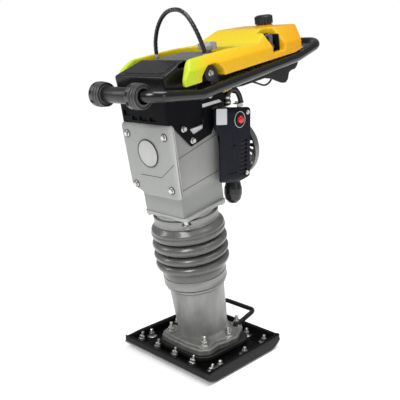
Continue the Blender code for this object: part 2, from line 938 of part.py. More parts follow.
def build_console():
    low, high = CASE_TOP_S + GAP, 0.7560
    console = block(
        "front_console", (-0.0792, -0.0930, low), (0.0792, 0.0700, high), BLACK, bevel=0.005
    )
    cut(
        console,
        block("console_hollow", (-0.0700, -0.0880, 0.7080), (0.0700, 0.0640, 0.7800)),
        block("console_vent_1", (-0.0640, -0.1000, 0.7140), (-0.0300, -0.0800, 0.7260)),
        block("console_vent_2", (-0.0200, -0.1000, 0.7140), (0.0100, -0.0800, 0.7260)),
        block("console_vent_3", (0.0200, -0.1000, 0.7140), (0.0500, -0.0800, 0.7260)),
    )
    side = rounded(
        [
            ((-0.0900, 0.7560), 0.004),
            ((-0.0900, 0.7010), 0.0),
            ((-0.0728, 0.7010), 0.0),
            ((-0.0728, 0.6880), 0.0),
            ((-0.0240, 0.6300), 0.004),
            ((0.0520, 0.6410), 0.004),
            ((0.0690, 0.6620), 0.0),
            ((0.0690, 0.7560), 0.0),
            ((0.0760, 0.7700), 0.0),
            ((0.0760, 0.8180), 0.010),
            ((0.0420, 0.8180), 0.010),
            ((0.0300, 0.7560), 0.004),
        ],
        2,
    )
    window = rounded(
        [
            ((-0.0480, 0.7440), 0.004),
            ((-0.0400, 0.7080), 0.004),
            ((-0.0080, 0.6720), 0.004),
            ((0.0260, 0.6900), 0.004),
            ((0.0200, 0.7440), 0.004),
        ],
        2,
    )
    for name, side_x in (("left", 1), ("right", -1)):
        inner = CASE_HALF_WIDTH + 0.0024
        holes = [circle((PIVOT_B, PIVOT_S), 0.0066, 16)]
        bracket = plate(
            f"side_bracket_{name}", [side, window, *holes], 0.0044, (side_x * (inner + 0.0022), 0, 0), "side"
        )
        join(console, bracket)
        mount = rod(
            f"shock_mount_{name}",
            0.0190,
            0.0200,
            (side_x * 0.1040, PIVOT_B, PIVOT_S),
            "x",
            RUBBER,
            sides=24,
        )
        join(
            mount,
            rod(
                f"shock_stud_{name}",
                0.0060,
                0.0400,
                (side_x * 0.0965, PIVOT_B, PIVOT_S),
                "x",
                sides=16,
            ),
            rod(
                f"shock_head_{name}",
                0.0105,
                0.0050,
                (side_x * 0.1160, PIVOT_B, PIVOT_S),
                "x",
                sides=16,
            ),
        )


def build_hood():
    profile = rounded(
        [
            ((-0.0790, 0.7640), 0.004),
            ((0.0180, 0.7640), 0.0),
            ((0.0180, 0.8360), 0.006),
            ((-0.0060, 0.8410), 0.010),
            ((-0.0780, 0.8090), 0.010),
        ],
        3,
    )
    hood = plate("air_filter_hood", [profile], 0.1780, (0, 0, 0), "side", BLACK, bevel=0.004)
    inside = [
        (-0.0740, 0.7500), (0.0140, 0.7500), (0.0140, 0.8320), (-0.0060, 0.8365), (-0.0740, 0.8060)
    ]
    cut(hood, plate("hood_hollow", [inside], 0.1700, (0, 0, 0), "side"))
    block(
        "filter_element", (-0.0700, -0.0660, 0.7640), (0.0700, 0.0060, 0.7960), YELLOW, bevel=0.004
    )
    block(
        "rear_cover",
        (-0.0750, 0.0200, 0.7600),
        (0.0750, 0.1560, 0.8320),
        SMOKE,
        bevel=0.006,
        segments=2,
    )
    knob_axis = joint_frame("knob_axis", (0.030, 0.134, 0.834))
    turned(
        "filter_knob",
        [
            (0.0, 0.0270),
            (0.0120, 0.0265),
            (0.0155, 0.0230),
            (0.0155, 0.0060),
            (0.0090, 0.0040),
            (0.0090, 0.0),
            (0.0, 0.0),
        ],
        (0.030, 0.134, 0.8326),
        "s",
        SMOKE,
        knob_axis,
        sides=20,
    )


def build_lifting_loop():
    route = [
        (-0.0876, 0.8385),
        (-0.0870, 0.8560),
        (-0.0825, 0.8780),
        (-0.0700, 0.9050),
        (-0.0500, 0.9290),
        (-0.0270, 0.9440),
        (-0.0030, 0.9490),
        (0.0200, 0.9465),
        (0.0400, 0.9350),
        (0.0560, 0.9160),
        (0.0690, 0.8930),
        (0.0790, 0.8700),
        (0.0855, 0.8500),
        (0.0876, 0.8385),
    ]
    points = smooth_path([(x, LOOP_B, s) for x, s in route], 2)
    loop = tube("lifting_loop", points, 0.0055, RUBBER, sides=2)
    mesh_loop = as_mesh(loop)
    PARTS.objects.link(mesh_loop)
    mesh_loop.parent = LEG
    for name, side in (("left", 1), ("right", -1)):
        ferrule = rod(
            f"loop_ferrule_{name}", 0.0046, 0.036, (side * 0.0878, LOOP_B, 0.8230), "s", sides=14
        )
        join(mesh_loop, ferrule)


# ---------------------------------------------------------------- handle frame


def build_handle():
    pivot = joint_frame("handle_pivot", (0, PIVOT_B, PIVOT_S))
    half = HANDLE_HALF_WIDTH
    left = [
        ((half, ROLLER_B, ROLLER_S), 0.045),
        ((half, 0.000, 0.7570), 0.08),
        ((half, 0.400, 0.7700), 0.20),
        ((half, 0.522, 0.7905), 0.040),
    ]
    corners = left + [((-x, b, s), radius) for (x, b, s), radius in reversed(left)]
    tube("handle_tube", rounded(corners, 5), TUBE_RADIUS, PAINTED, pivot, closed=True, sides=2)
    ring(
        "roller_sleeve",
        0.0195,
        TUBE_RADIUS + 0.0006,
        0.094,
        (0, ROLLER_B, ROLLER_S),
        "x",
        BLACK,
        pivot,
        sides=24,
    )

    for name, side in (("left", 1), ("right", -1)):
        axis = joint_frame(f"roller_axis_{name}", (side * ROLLER_X, ROLLER_B, ROLLER_S), pivot)
        profile = [
            (0.0290, 0.0150),
            (0.0305, 0.0130),
            (0.0305, -0.0130),
            (0.0290, -0.0150),
            (0.0152, -0.0150),
            (0.0152, 0.0150),
        ]
        turned(
            f"roller_{name}",
            profile,
            (side * ROLLER_X, ROLLER_B, ROLLER_S),
            "x",
            ROLLER_RUBBER,
            axis,
            sides=24,
        )

        rail = rounded(
            [
                ((0.0900, 0.7820), 0.0),
                ((0.0900, 0.7440), 0.0),
                ((0.1300, 0.7280), 0.02),
                ((0.3300, 0.7330), 0.05),
                ((0.4380, 0.7530), 0.01),
                ((0.4500, 0.7820), 0.0),
            ],
            3,
        )
        rail_centre = (side * (RAIL_INNER_X + 0.0025), 0, 0)
        side_rail = plate(f"side_rail_{name}", [rail], 0.0050, rail_centre, "side", PAINTED, pivot)
        hanger = rounded(
            [
                ((0.3450, 0.7450), 0.0),
                ((0.3450, 0.7120), 0.006),
                ((0.3750, 0.6980), 0.008),
                ((0.4350, 0.7000), 0.012),
                ((0.4420, 0.7420), 0.0),
                ((0.4300, 0.7600), 0.0),
                ((0.3600, 0.7600), 0.0),
            ],
            3,
        )
        slot = circle((0.4020, 0.7250), 0.0110, 16)
        join(
            side_rail,
            plate(f"rear_hanger_{name}", [hanger, slot], 0.0044, (side * 0.0970, 0, 0), "side"),
        )
    inner = RAIL_INNER_X - GAP
    block("front_crossmember", (-inner, 0.2000, 0.7640), (inner, 0.2200, 0.7820), PAINTED, pivot)
    block("rear_crossmember", (-inner, 0.4150, 0.7640), (inner, 0.4350, 0.7820), PAINTED, pivot)
    return pivot


def build_tank(pivot):
    outline = rounded(
        [
            ((-0.0530, 0.7860), 0.004),
            ((0.3900, 0.7860), 0.004),
            ((TANK_REAR_B, 0.7985), 0.008),
            ((0.4500, 0.8240), 0.020),
            ((0.4360, 0.8535), 0.012),
            ((0.3060, 0.8620), 0.015),
            ((0.2340, 0.8340), 0.020),
            ((0.1300, 0.8410), 0.030),
            ((-0.0250, 0.8400), 0.020),
            ((-0.0520, 0.8060), 0.015),
        ],
        2,
    )
    tank = plate("fuel_tank", [outline], 2 * TANK_HALF_WIDTH, (0, 0, 0), "side", YELLOW, pivot)
    for side in (-1, 1):
        wedge = [
            (side * 0.1180, 0.8160),
            (side * 0.0480, 0.9000),
            (side * 0.1800, 0.9000),
            (side * 0.1800, 0.8160),
        ]
        cut(tank, plate(f"tank_taper_{side}", [wedge], 0.80, (0, 0.2, 0), "front"))
        corner = [(side * 0.1300, 0.4060), (side * 0.1300, 0.5200), (-side * 0.0300, 0.5200)]
        cut(tank, plate(f"tank_corner_{side}", [corner], 0.20, (0, 0, 0.82), "flat"))
    join(tank, rod("filler_neck", 0.0195, 0.0320, (0, CAP_B, 0.8560), "s", sides=24))
    inside = [
        (0.2400, 0.7910),
        (0.3900, 0.7910),
        (0.4400, 0.8000),
        (0.4380, 0.8250),
        (0.4280, 0.8460),
        (0.3080, 0.8550),
        (0.2400, 0.8290),
    ]
    cut(
        tank,
        block("arm_gap", (-ARM_INNER_X, -0.20, 0.70), (ARM_INNER_X, TANK_FRONT_B, 1.0)),
        rod("mount_arch", 0.0260, 0.40, (0, PIVOT_B, PIVOT_S - 0.002), "x", sides=24),
        block(
            "mount_arch_foot",
            (-0.20, PIVOT_B - 0.026, 0.77),
            (0.20, PIVOT_B + 0.026, PIVOT_S - 0.002),
        ),
        plate("tank_hollow", [inside], 0.1200, (0, 0, 0), "side"),
        rod("filler_hole", 0.0160, 0.08, (0, CAP_B, CAP_S), "s", sides=20),
        block("lever_pocket", (0.0740, 0.2900, 0.8020), (0.1500, 0.3340, 0.8700), bevel=0.004),
    )

    seat = joint_frame("cap_lift_axis", (0, CAP_B, 0.8734), pivot)
    ring("cap_gasket", 0.0190, 0.0165, 0.0020, (0, CAP_B, 0.8734), "s", RUBBER, seat, sides=24)
    cap_axis = joint_frame("cap_axis", (0, CAP_B, 0.8748), seat)
    turned(
        "fuel_cap",
        [
            (0.0, 0.0120),
            (0.0200, 0.0120),
            (0.0262, 0.0085),
            (0.0262, -0.0100),
            (0.0240, -0.0125),
            (0.0205, -0.0125),
            (0.0205, 0.0),
            (0.0, 0.0),
        ],
        (0, CAP_B, 0.8748),
        "s",
        BLACK,
        cap_axis,
        sides=28,
    )

    lever_axis = joint_frame("lever_axis", (0.092, 0.312, 0.8130), pivot)
    lever = plate(
        "throttle_lever",
        [
            rounded(
                [
                    ((0.3070, 0.8080), 0.003),
                    ((0.3170, 0.8080), 0.003),
                    ((0.3190, 0.8480), 0.004),
                    ((0.3050, 0.8480), 0.004),
                ],
                2,
            ),
        ],
        0.0120,
        (0.0920, 0, 0),
        "side",
        SMOKE,
        lever_axis,
    )
    join(lever, rod("lever_hub", 0.0075, 0.0200, (0.0920, 0.3120, 0.8130), "x", sides=16))


def build():
    build_shoe()
    build_ram()
    build_bellows()
    build_percussion()
    build_crankcase()
    build_gears()
    build_engine()
    build_fuel_and_intake()
    build_console()
    build_hood()
    build_lifting_loop()
    build_tank(build_handle())


build()
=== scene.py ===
"""A vibratory trench rammer in a plain studio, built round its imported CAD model.

Metres, +Z up, -Y forward, +X to the machine's left. Most of the machine leans with its leg,
so shapes are given as (x across, b back from the leg's axis, s up along the leg).
"""

import math

import bmesh
import bpy
from mathutils import Matrix, Vector


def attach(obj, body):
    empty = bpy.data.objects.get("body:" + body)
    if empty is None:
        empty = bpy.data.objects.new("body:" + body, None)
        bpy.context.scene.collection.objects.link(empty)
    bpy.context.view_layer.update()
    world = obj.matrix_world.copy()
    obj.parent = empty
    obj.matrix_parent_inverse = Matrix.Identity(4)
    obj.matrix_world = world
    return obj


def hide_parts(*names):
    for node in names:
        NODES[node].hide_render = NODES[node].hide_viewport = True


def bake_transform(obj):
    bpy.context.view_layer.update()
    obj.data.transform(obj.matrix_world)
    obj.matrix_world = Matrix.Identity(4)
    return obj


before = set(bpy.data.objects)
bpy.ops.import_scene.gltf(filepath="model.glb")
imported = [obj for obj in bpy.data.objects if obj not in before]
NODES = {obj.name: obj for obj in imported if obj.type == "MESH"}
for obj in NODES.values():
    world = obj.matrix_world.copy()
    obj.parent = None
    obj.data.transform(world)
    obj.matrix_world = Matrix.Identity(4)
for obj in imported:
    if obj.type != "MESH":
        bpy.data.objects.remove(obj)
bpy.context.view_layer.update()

# ---------------------------------------------------------------- frames

LEG_TILT = math.radians(11.0)
LOOP_B = 0.062  # the lifting loop's plane
LEG = Matrix.Translation((0.0, 0.0158, 0.0)) @ Matrix.Rotation(LEG_TILT, 4, "X")
WORLD = Matrix.Identity(4)
ALONG = {  # local (u, v, depth) laid out with its depth along x, b or s
    "x": Matrix(((0, 0, 1, 0), (1, 0, 0, 0), (0, 1, 0, 0), (0, 0, 0, 1))),
    "b": Matrix(((1, 0, 0, 0), (0, 0, 1, 0), (0, 1, 0, 0), (0, 0, 0, 1))), "s": Matrix.Identity(4),
}
PIVOT_S = 0.798
FILLER_B = 0.415
MOUNT_B = 0.044  # the mounts' bolts sit a little ahead of the middle they flex about
CRANK_S, ENGINE_S = 0.625, 0.55
SIDES = (("left", 1), ("right", -1))


def at(x, b, s):
    return Matrix.Translation((x, b, s))


def about(axis, degrees):
    return Matrix.Rotation(math.radians(degrees), 4, axis)


def facing(place, direction):
    """A frame at a place whose local z points along a direction."""
    turn = Vector(direction).to_track_quat("Z", "Y").to_matrix().to_4x4()
    return Matrix.Translation(place) @ turn


def around(k, count):
    """The turn about local z to the kth of a number of even steps."""
    return Matrix.Rotation(2 * math.pi * k / count, 4, "Z")


def leg_point(x, b, s):
    return LEG @ Vector((x, b, s))


# ---------------------------------------------------------------- camera, first of all


def make_camera():
    data = bpy.data.cameras.new("camera")
    data.lens, data.sensor_width = 53.3, 36.0
    data.shift_x, data.shift_y = -0.003, -0.003
    data.clip_start, data.clip_end = 0.05, 50.0
    camera = bpy.data.objects.new("camera", data)
    bpy.context.scene.collection.objects.link(camera)
    place, forward = (1.1014, -1.1636, 0.8182), Vector((-0.67152, 0.70591, -0.22529))
    turn = forward.to_track_quat("-Z", "Y").to_matrix().to_4x4()
    camera.matrix_world = at(*place) @ turn
    bpy.context.scene.camera = camera


make_camera()

# ---------------------------------------------------------------- outlines

NO_TURN = 1e-6  # radians
ALMOST_STRAIGHT = math.radians(88.5)  # half the angle of a corner that needs no arc
ON_AXIS = 1e-6  # a lathe point this close to the axis is a single vertex


def arc(start, end, share):
    angle = start.angle(end)
    if angle < NO_TURN:
        return start.copy()
    return (start * math.sin((1 - share) * angle) + end * math.sin(share * angle)) / math.sin(angle)


def rounded(corners, radius, steps=5, closed=True, size=2):
    """A path with an arc at each corner, whose own radius may follow its coordinates."""
    points = []
    places = [Vector(corner[:size]) for corner in corners]
    count = len(corners)
    for i, (corner, here) in enumerate(zip(corners, places)):
        own = corner[size] if len(corner) > size else radius
        if own <= 0 or (not closed and i in (0, count - 1)):
            points.append(here)
            continue
        before, after = places[i - 1] - here, places[(i + 1) % count] - here
        limit = min(before.length, after.length) * 0.49
        before.normalize()
        after.normalize()
        half = before.angle(after) / 2
        if half > ALMOST_STRAIGHT:
            points.append(here)
            continue
        own = min(own, limit * math.tan(half))
        reach = own / math.tan(half)
        centre = here + (before + after).normalized() * own / math.sin(half)
        start, end = here + before * reach - centre, here + after * reach - centre
        points += [centre + arc(start, end, k / steps) for k in range(steps + 1)]
    return points


def rectangle(u0, v0, u1, v1):
    return [(u0, v0), (u1, v0), (u1, v1), (u0, v1)]


def mirrored(points):
    """One half of an outline or path, and then its mirror image back to the start."""
    return points + [(-x, *rest) for x, *rest in reversed(points)]


def circle(u, v, radius, count=32):
    turn = 2 * math.pi / count
    return [
        (u + radius * math.cos(turn * k), v + radius * math.sin(turn * k))
        for k in range(count)
    ]


def spline(points, per_span=6):
    """Points on a smooth curve through the given ones."""
    points = [Vector(p) for p in points]
    ends = [2 * points[0] - points[1], *points, 2 * points[-1] - points[-2]]
    path = []
    for a, b, c, d in zip(ends, ends[1:], ends[2:], ends[3:]):
        for k in range(per_span):
            t = k / per_span
            bend = (2 * a - 5 * b + 4 * c - d) * t**2 + (3 * b - a - 3 * c + d) * t**3
            path.append(0.5 * (2 * b + (c - a) * t + bend))
    return [*path, points[-1]]


# ---------------------------------------------------------------- mesh builders


def new():
    return bmesh.new()


def add_prism(bm, outline, low, high, place=WORLD):
    """An outline in local x, y, from low to high along local z."""
    rings = [[bm.verts.new(place @ Vector((*p[:2], h))) for p in outline] for h in (low, high)]
    bm.faces.new(rings[0])
    bm.faces.new(rings[1])
    for k in range(len(outline)):
        j = (k + 1) % len(outline)
        bm.faces.new((rings[0][k], rings[0][j], rings[1][j], rings[1][k]))


def add_box(bm, low, high, place=WORLD):
    add_prism(bm, rectangle(low[0], low[1], high[0], high[1]), low[2], high[2], place)


def add_lathe(bm, profile, place=WORLD, sides=64, closed=False):
    """(radius, height) points swept round local z."""
    rings = []
    for radius, height in profile:
        points = circle(0, 0, radius, sides) if radius >= ON_AXIS else [(0, 0)]
        rings.append([bm.verts.new(place @ Vector((*point, height))) for point in points])
    for first, second in zip(rings, rings[1:] + (rings[:1] if closed else [])):
        for k in range(sides if len(first) + len(second) > 2 else 0):
            j = (k + 1) % sides
            if len(first) == 1:
                bm.faces.new((first[0], second[k], second[j]))
            elif len(second) == 1:
                bm.faces.new((first[k], first[j], second[0]))
            else:
                bm.faces.new((first[k], first[j], second[j], second[k]))


def add_slab(bm, outline, near, far, side=1):
    """An outline in (b, s) as a plate across x, from near to far out on one side."""
    add_prism(bm, outline, *sorted((side * near, side * far)), ALONG["x"])


def add_rod(bm, radius, low, high, place=WORLD, sides=64):
    add_lathe(bm, [(0, low), (radius, low), (radius, high), (0, high)], place, sides)


def add_turned(bm, corners, place=WORLD, sides=64, steps=3, closed=False):
    """A lathe profile whose corners may carry a radius."""
    add_lathe(bm, rounded(corners, 0, steps, closed), place, sides, closed)


def add_tube(bm, points, radius, sides=14, closed=False, twist=None):
    """A round bar along points; twist(angle, distance) gives its radius where it isn't plain."""
    points = [Vector(p) for p in points]
    count = len(points)
    rings = []
    normal = None
    travelled = 0.0
    for i, point in enumerate(points):
        ahead = points[(i + 1) % count] if closed or i < count - 1 else point
        behind = points[i - 1] if closed or i > 0 else point
        along = (ahead - behind).normalized()
        if normal is None:
            normal = along.orthogonal().normalized()
        normal = (normal - along * normal.dot(along)).normalized()
        side = along.cross(normal)
        ring = []
        for k in range(sides):
            angle = 2 * math.pi * k / sides
            reach = twist(angle, travelled) if twist else radius
            ring.append(
                bm.verts.new(point + (normal * math.cos(angle) + side * math.sin(angle)) * reach)
            )
        rings.append(ring)
        travelled += (ahead - point).length
    for first, second in zip(rings, rings[1:] + (rings[:1] if closed else [])):
        shift = 0
        if closed and second is rings[0]:
            shift = min(range(sides), key=lambda m: (first[0].co - second[m].co).length)
        for k in range(sides):
            j = (k + 1) % sides
            bm.faces.new(
                (first[k], first[j], second[(j + shift) % sides], second[(k + shift) % sides])
            )
    if not closed:
        bm.faces.new(rings[0])
        bm.faces.new(rings[-1])


def laid(radius, depth, lay):
    """What add_tube asks of a rope with three strands."""

    def reach(angle, distance):
        return radius + depth * math.cos(3 * (angle - 2 * math.pi * distance / lay))

    return reach


def add_hex(bm, flats, height, place):
    """A hexagon head with chamfered corners, standing on local z = 0."""
    reach = flats / math.sqrt(3)
    rings = []
    for share, h in ((0.97, 0.0), (1.0, 0.06), (1.0, 0.8), (0.9, 1.0)):
        corners = circle(0, 0, reach * share, 6)
        rings.append([bm.verts.new(place @ Vector((u, v, height * h))) for u, v in corners])
    for first, second in zip(rings, rings[1:]):
        for k in range(6):
            bm.faces.new((first[k], first[(k + 1) % 6], second[(k + 1) % 6], second[k]))
    bm.faces.new(rings[0])
    bm.faces.new(rings[-1])


def add_disc(bm, radius, rim, face, height, place, sides):
    """A disc on local z = 0, upright to the rim's height and then sloping in to its face."""
    add_lathe(bm, [(0, 0), (radius, 0), (radius, rim), (face, height), (0, height)], place, sides)


def add_stud(bm, place, flats, washer, stud):
    """A washer, a nut and the rounded end of a threaded stud, standing on local z = 0."""
    low, tall, pitch = 0.0018, flats * 0.62, 0.0016
    add_disc(bm, washer, 0.0014, washer * 0.94, 0.002, place, 28)
    add_hex(bm, flats, tall, place @ at(0, 0, low))
    top = low + tall
    radius = flats * 0.29
    profile = [(0, top - 0.001), (radius, top - 0.001)]
    turns = max(2, int((stud - 0.003) / pitch))
    for k in range(turns):
        base = top + pitch * k
        profile += [
            (radius, base + 0.0003), (radius * 0.88, base + 0.0008), (radius, base + 0.0013)
        ]
    peak = top + pitch * turns
    profile += [(radius * 0.95, peak), (radius * 0.6, peak + 0.0015), (0, peak + 0.0018)]
    add_lathe(bm, profile, place, 16)


def add_screw_head(bm, place, radius, height):
    """A flanged hexagon head with a dished top."""
    flange = 0.0016
    add_disc(bm, radius, 0.0012, radius * 0.8, 0.0026, place, 32)
    add_hex(bm, radius * 1.36, height - flange, place @ at(0, 0, flange))


# ---------------------------------------------------------------- pieces

WELD = 1e-6
BEVEL_FROM, SHARP_MOULDING = math.radians(28), math.radians(38)


def to_object(name, bm):
    bmesh.ops.remove_doubles(bm, verts=bm.verts, dist=WELD)
    bmesh.ops.recalc_face_normals(bm, faces=bm.faces)
    mesh = bpy.data.meshes.new(name)
    bm.to_mesh(mesh)
    bm.free()
    obj = bpy.data.objects.new(name, mesh)
    bpy.context.scene.collection.objects.link(obj)
    return obj


def bake(obj):
    """Applies every modifier."""
    bpy.context.view_layer.update()
    graph = bpy.context.evaluated_depsgraph_get()
    old = obj.data
    mesh = bpy.data.meshes.new_from_object(obj.evaluated_get(graph), depsgraph=graph)
    obj.modifiers.clear()
    obj.data = mesh
    mesh.name = obj.name
    bpy.data.meshes.remove(old)


def boolean(obj, other_bm, operation):
    other = to_object("tool", other_bm)
    modifier = obj.modifiers.new("cut", "BOOLEAN")
    modifier.operation, modifier.solver, modifier.object = operation, "EXACT", other
    bake(obj)
    bpy.data.objects.remove(other)


def soften(obj, width, segments):
    bevel = obj.modifiers.new("edges", "BEVEL")
    bevel.width, bevel.segments = width, segments
    bevel.limit_method, bevel.angle_limit = "ANGLE", BEVEL_FROM
    bevel.harden_normals = True
    bevel.miter_outer = "MITER_ARC"
    obj.data.shade_smooth()
    bake(obj)


def piece(
    name, bm, look, cad=(), body="machine", cuts=(), joins=(), bevel=0.0, segments=3, sharp=35.0,
    place=LEG,
):
    """One finished piece: joined, cut, its edges softened, then placed and given its body."""
    obj = to_object(name, bm)
    for other in joins:
        boolean(obj, other, "UNION")
    for other in cuts:
        boolean(obj, other, "DIFFERENCE")
    obj.data.transform(place)
    if bevel:
        soften(obj, bevel, segments)
    else:
        obj.data.shade_smooth()
        obj.data.set_sharp_from_angle(angle=math.radians(sharp))
    finish_piece(obj, look, body, cad)
    return obj


def finish_piece(obj, look, body, cad=()):
    obj.data.materials.clear()
    obj.data.materials.append(look["material"])
    if body:
        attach(obj, body)
    names = [cad] if isinstance(cad, str) else list(cad)
    if names:
        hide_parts(*names)


def shape(add, *sizes, **more):
    """A mesh of its own with one thing added to it."""
    bm = new()
    add(bm, *sizes, **more)
    return bm


# ---------------------------------------------------------------- materials


WORN_EDGES, SHADED_HOLLOWS = (0.515, 0.56), (0.455, 0.495)  # ranges of pointiness; flat is 0.5; the second range is darkened as painted shade in hollows


def surface(
    name, slot, colour, roughness, metallic=0.0, mottle=0.2, mottle_size=14.0, grain=0.2,
    grain_size=900.0, grain_depth=0.0004, wear=None, coat=0.0, stretch=(1.0, 1.0, 1.0), painted_light_ramps=(),
    specular=0.5, painted_crease_shade=None,
):
    """A finish with drifting colour and gloss, a fine grain and, if asked, worn edges, painted shade
    in hollows and ramps of painted light and shade.
    """
    made = bpy.data.materials.new(name)
    made.use_nodes = True
    nodes, links = made.node_tree.nodes, made.node_tree.links
    shader = nodes["Principled BSDF"]
    shader.inputs["Metallic"].default_value = metallic
    shader.inputs["Coat Weight"].default_value = coat
    shader.inputs["Coat Roughness"].default_value = 0.12
    shader.inputs["Specular IOR Level"].default_value = specular
    where = nodes.new("ShaderNodeTexCoord")
    mapping = nodes.new("ShaderNodeMapping")
    mapping.inputs["Scale"].default_value = stretch
    links.new(where.outputs["Object"], mapping.inputs["Vector"])

    def noise(scale, detail):
        made_noise = nodes.new("ShaderNodeTexNoise")
        made_noise.inputs["Scale"].default_value = scale
        made_noise.inputs["Detail"].default_value = detail
        made_noise.inputs["Roughness"].default_value = 0.55
        links.new(mapping.outputs["Vector"], made_noise.inputs["Vector"])
        return made_noise.outputs["Fac"]

    def spread(source, low, high, start=0.3, end=0.7):
        ranged = nodes.new("ShaderNodeMapRange")
        limits = {"From Min": start, "From Max": end, "To Min": low, "To Max": high}
        for socket, value in limits.items():
            ranged.inputs[socket].default_value = value
        links.new(source, ranged.inputs["Value"])
        return ranged.outputs["Result"]

    def mixed(factor, first, other):
        mix = nodes.new("ShaderNodeMix")
        mix.data_type = "RGBA"
        links.new(factor, mix.inputs["Factor"])
        for socket, value in ((mix.inputs["A"], first), (mix.inputs["B"], other)):
            if isinstance(value, (tuple, list)):
                socket.default_value = (*value[:3], 1.0)
            else:
                links.new(value, socket)
        return mix.outputs["Result"]

    # Painted light and shade: colour ramps along an object axis stand in for how light falls on the
    # part.
    base = colour
    for other, axis, start, end in painted_light_ramps:
        split = nodes.new("ShaderNodeSeparateXYZ")
        links.new(where.outputs["Object"], split.inputs["Vector"])
        base = mixed(spread(split.outputs[axis], 0.0, 1.0, start, end), base, other)
    darker = tuple(c * (1 - 2.2 * mottle) for c in colour)
    painted = mixed(spread(noise(mottle_size, 4.0), 0.0, mottle * 4), base, darker)
    if wear:
        edge = nodes.new("ShaderNodeNewGeometry").outputs["Pointiness"]
        painted = mixed(spread(edge, 0.0, wear[1], *WORN_EDGES), painted, wear[0])
    # Painted shade: hollows, such as the bellows' grooves, are darkened where shade falls.
    if painted_crease_shade:
        hollow = nodes.new("ShaderNodeNewGeometry").outputs["Pointiness"]
        painted = mixed(spread(hollow, painted_crease_shade[1], 0.0, *SHADED_HOLLOWS), painted, painted_crease_shade[0])
    links.new(painted, shader.inputs["Base Color"])
    gloss = noise(mottle_size * 5, 3.0)
    gloss = spread(gloss, roughness * 0.85, min(1.0, roughness * 1.2))
    links.new(gloss, shader.inputs["Roughness"])
    if grain:
        bump = nodes.new("ShaderNodeBump")
        bump.inputs["Strength"].default_value = grain
        bump.inputs["Distance"].default_value = grain_depth
        links.new(noise(grain_size, 2.0), bump.inputs["Height"])
        links.new(bump.outputs["Normal"], shader.inputs["Normal"])
    return {"material": made, "slot": slot}


# Painted light and shade: the yellow turns greenish towards the front, where light falls, and orange
# on the +x side and towards the rear.
YELLOW = surface(
    "tank_yellow", "yellow_plastic", (0.76, 0.6, 0.012), 0.3, mottle=0.02, grain=0.04,
    grain_size=300, grain_depth=0.0002, coat=0.1, specular=0.3,
    painted_light_ramps=(
        ((0.84, 0.46, 0.006), "X", 0.098, 0.126), ((0.84, 0.37, 0.004), "Y", 0.1, 0.27),
        ((0.5, 0.66, 0.022), "Y", -0.1, -0.165),
    ),
)
HOOD_BLACK = surface(
    "hood_black", "black_plastic", (0.0085, 0.0085, 0.0098), 0.24, mottle=0.15, grain=0.25,
    grain_size=1400, coat=0.05, specular=0.3,
)
CONSOLE_BLACK = surface(
    "console_black", "black_plastic", (0.0052, 0.0055, 0.007), 0.42, grain=0.25, grain_size=1400,
    specular=0.06,
)
COWL_NAVY = surface(
    "cowl_black", "black_plastic", (0.0062, 0.0078, 0.015), 0.42, mottle=0.15, grain=0.35,
    grain_size=1200, specular=0.12,
)
CAP_BLACK = surface(
    "cap_black", "black_plastic", (0.01, 0.01, 0.012), 0.36, grain=0.3, specular=0.35
)
SLEEVE_BLACK = surface("sleeve_black", "black_plastic", (0.015, 0.015, 0.0145), 0.32, grain=0.3)
SMOKE = surface(
    "smoke_grey", "grey_plastic", (0.115, 0.115, 0.13), 0.42, mottle=0.1, grain=0.25, specular=0.4
)
KNOB_GREY = surface(
    "knob_grey", "grey_plastic", (0.42, 0.415, 0.415), 0.38, mottle=0.1, specular=0.4
)
PAINTED = surface(
    "black_paint", "black_painted_steel", (0.0058, 0.0058, 0.0066), 0.34, grain=0.35,
    grain_size=420, grain_depth=0.0006, wear=((0.06, 0.06, 0.06), 0.5), specular=0.16,
)
TUBE_BLACK = surface(
    "tube_black", "black_painted_steel", (0.0045, 0.005, 0.0046), 0.2, mottle=0.0, grain=0.0,
    grain_size=300, coat=0.05, specular=0.55,
)
SHOE_BLACK = surface(
    "shoe_black", "black_painted_steel", (0.0042, 0.0042, 0.0048), 0.3, mottle=0.3, mottle_size=30,
    grain=0.55, grain_size=260, grain_depth=0.0009, wear=((0.06, 0.06, 0.06), 0.5), specular=0.06,
)
# Painted shade: the casting turns darker towards the top of the case, below the console.
CASTING = surface(
    "crankcase_grey", "grey_casting", (0.3, 0.308, 0.296), 0.52, metallic=0.15,
    painted_light_ramps=(((0.165, 0.17, 0.164), "Z", 0.49, 0.58),), mottle=0.05, grain=0.55, grain_size=520,
    grain_depth=0.0007, wear=((0.6, 0.6, 0.59), 0.5), specular=0.4,
)
COVER = surface(
    "cover_grey", "grey_casting", (0.31, 0.319, 0.307), 0.56, metallic=0.12, mottle=0.05,
    grain=0.45, grain_size=520, grain_depth=0.0007, wear=((0.7, 0.7, 0.69), 0.5), specular=0.35,
)
RAM_CAST = surface(
    "ram_grey", "grey_ram", (0.35, 0.35, 0.342), 0.36, metallic=0.45, mottle_size=22, grain=0.9,
    grain_size=240, grain_depth=0.0012, wear=((0.45, 0.45, 0.44), 0.5), stretch=(1, 1, 0.35),
)
FOOT_CAST = surface(
    "foot_grey", "grey_ram", (0.26, 0.26, 0.245), 0.38, metallic=0.45, mottle=0.25, mottle_size=45,
    grain=0.9, grain_size=200, grain_depth=0.0014, wear=((0.42, 0.42, 0.4), 0.7),
)
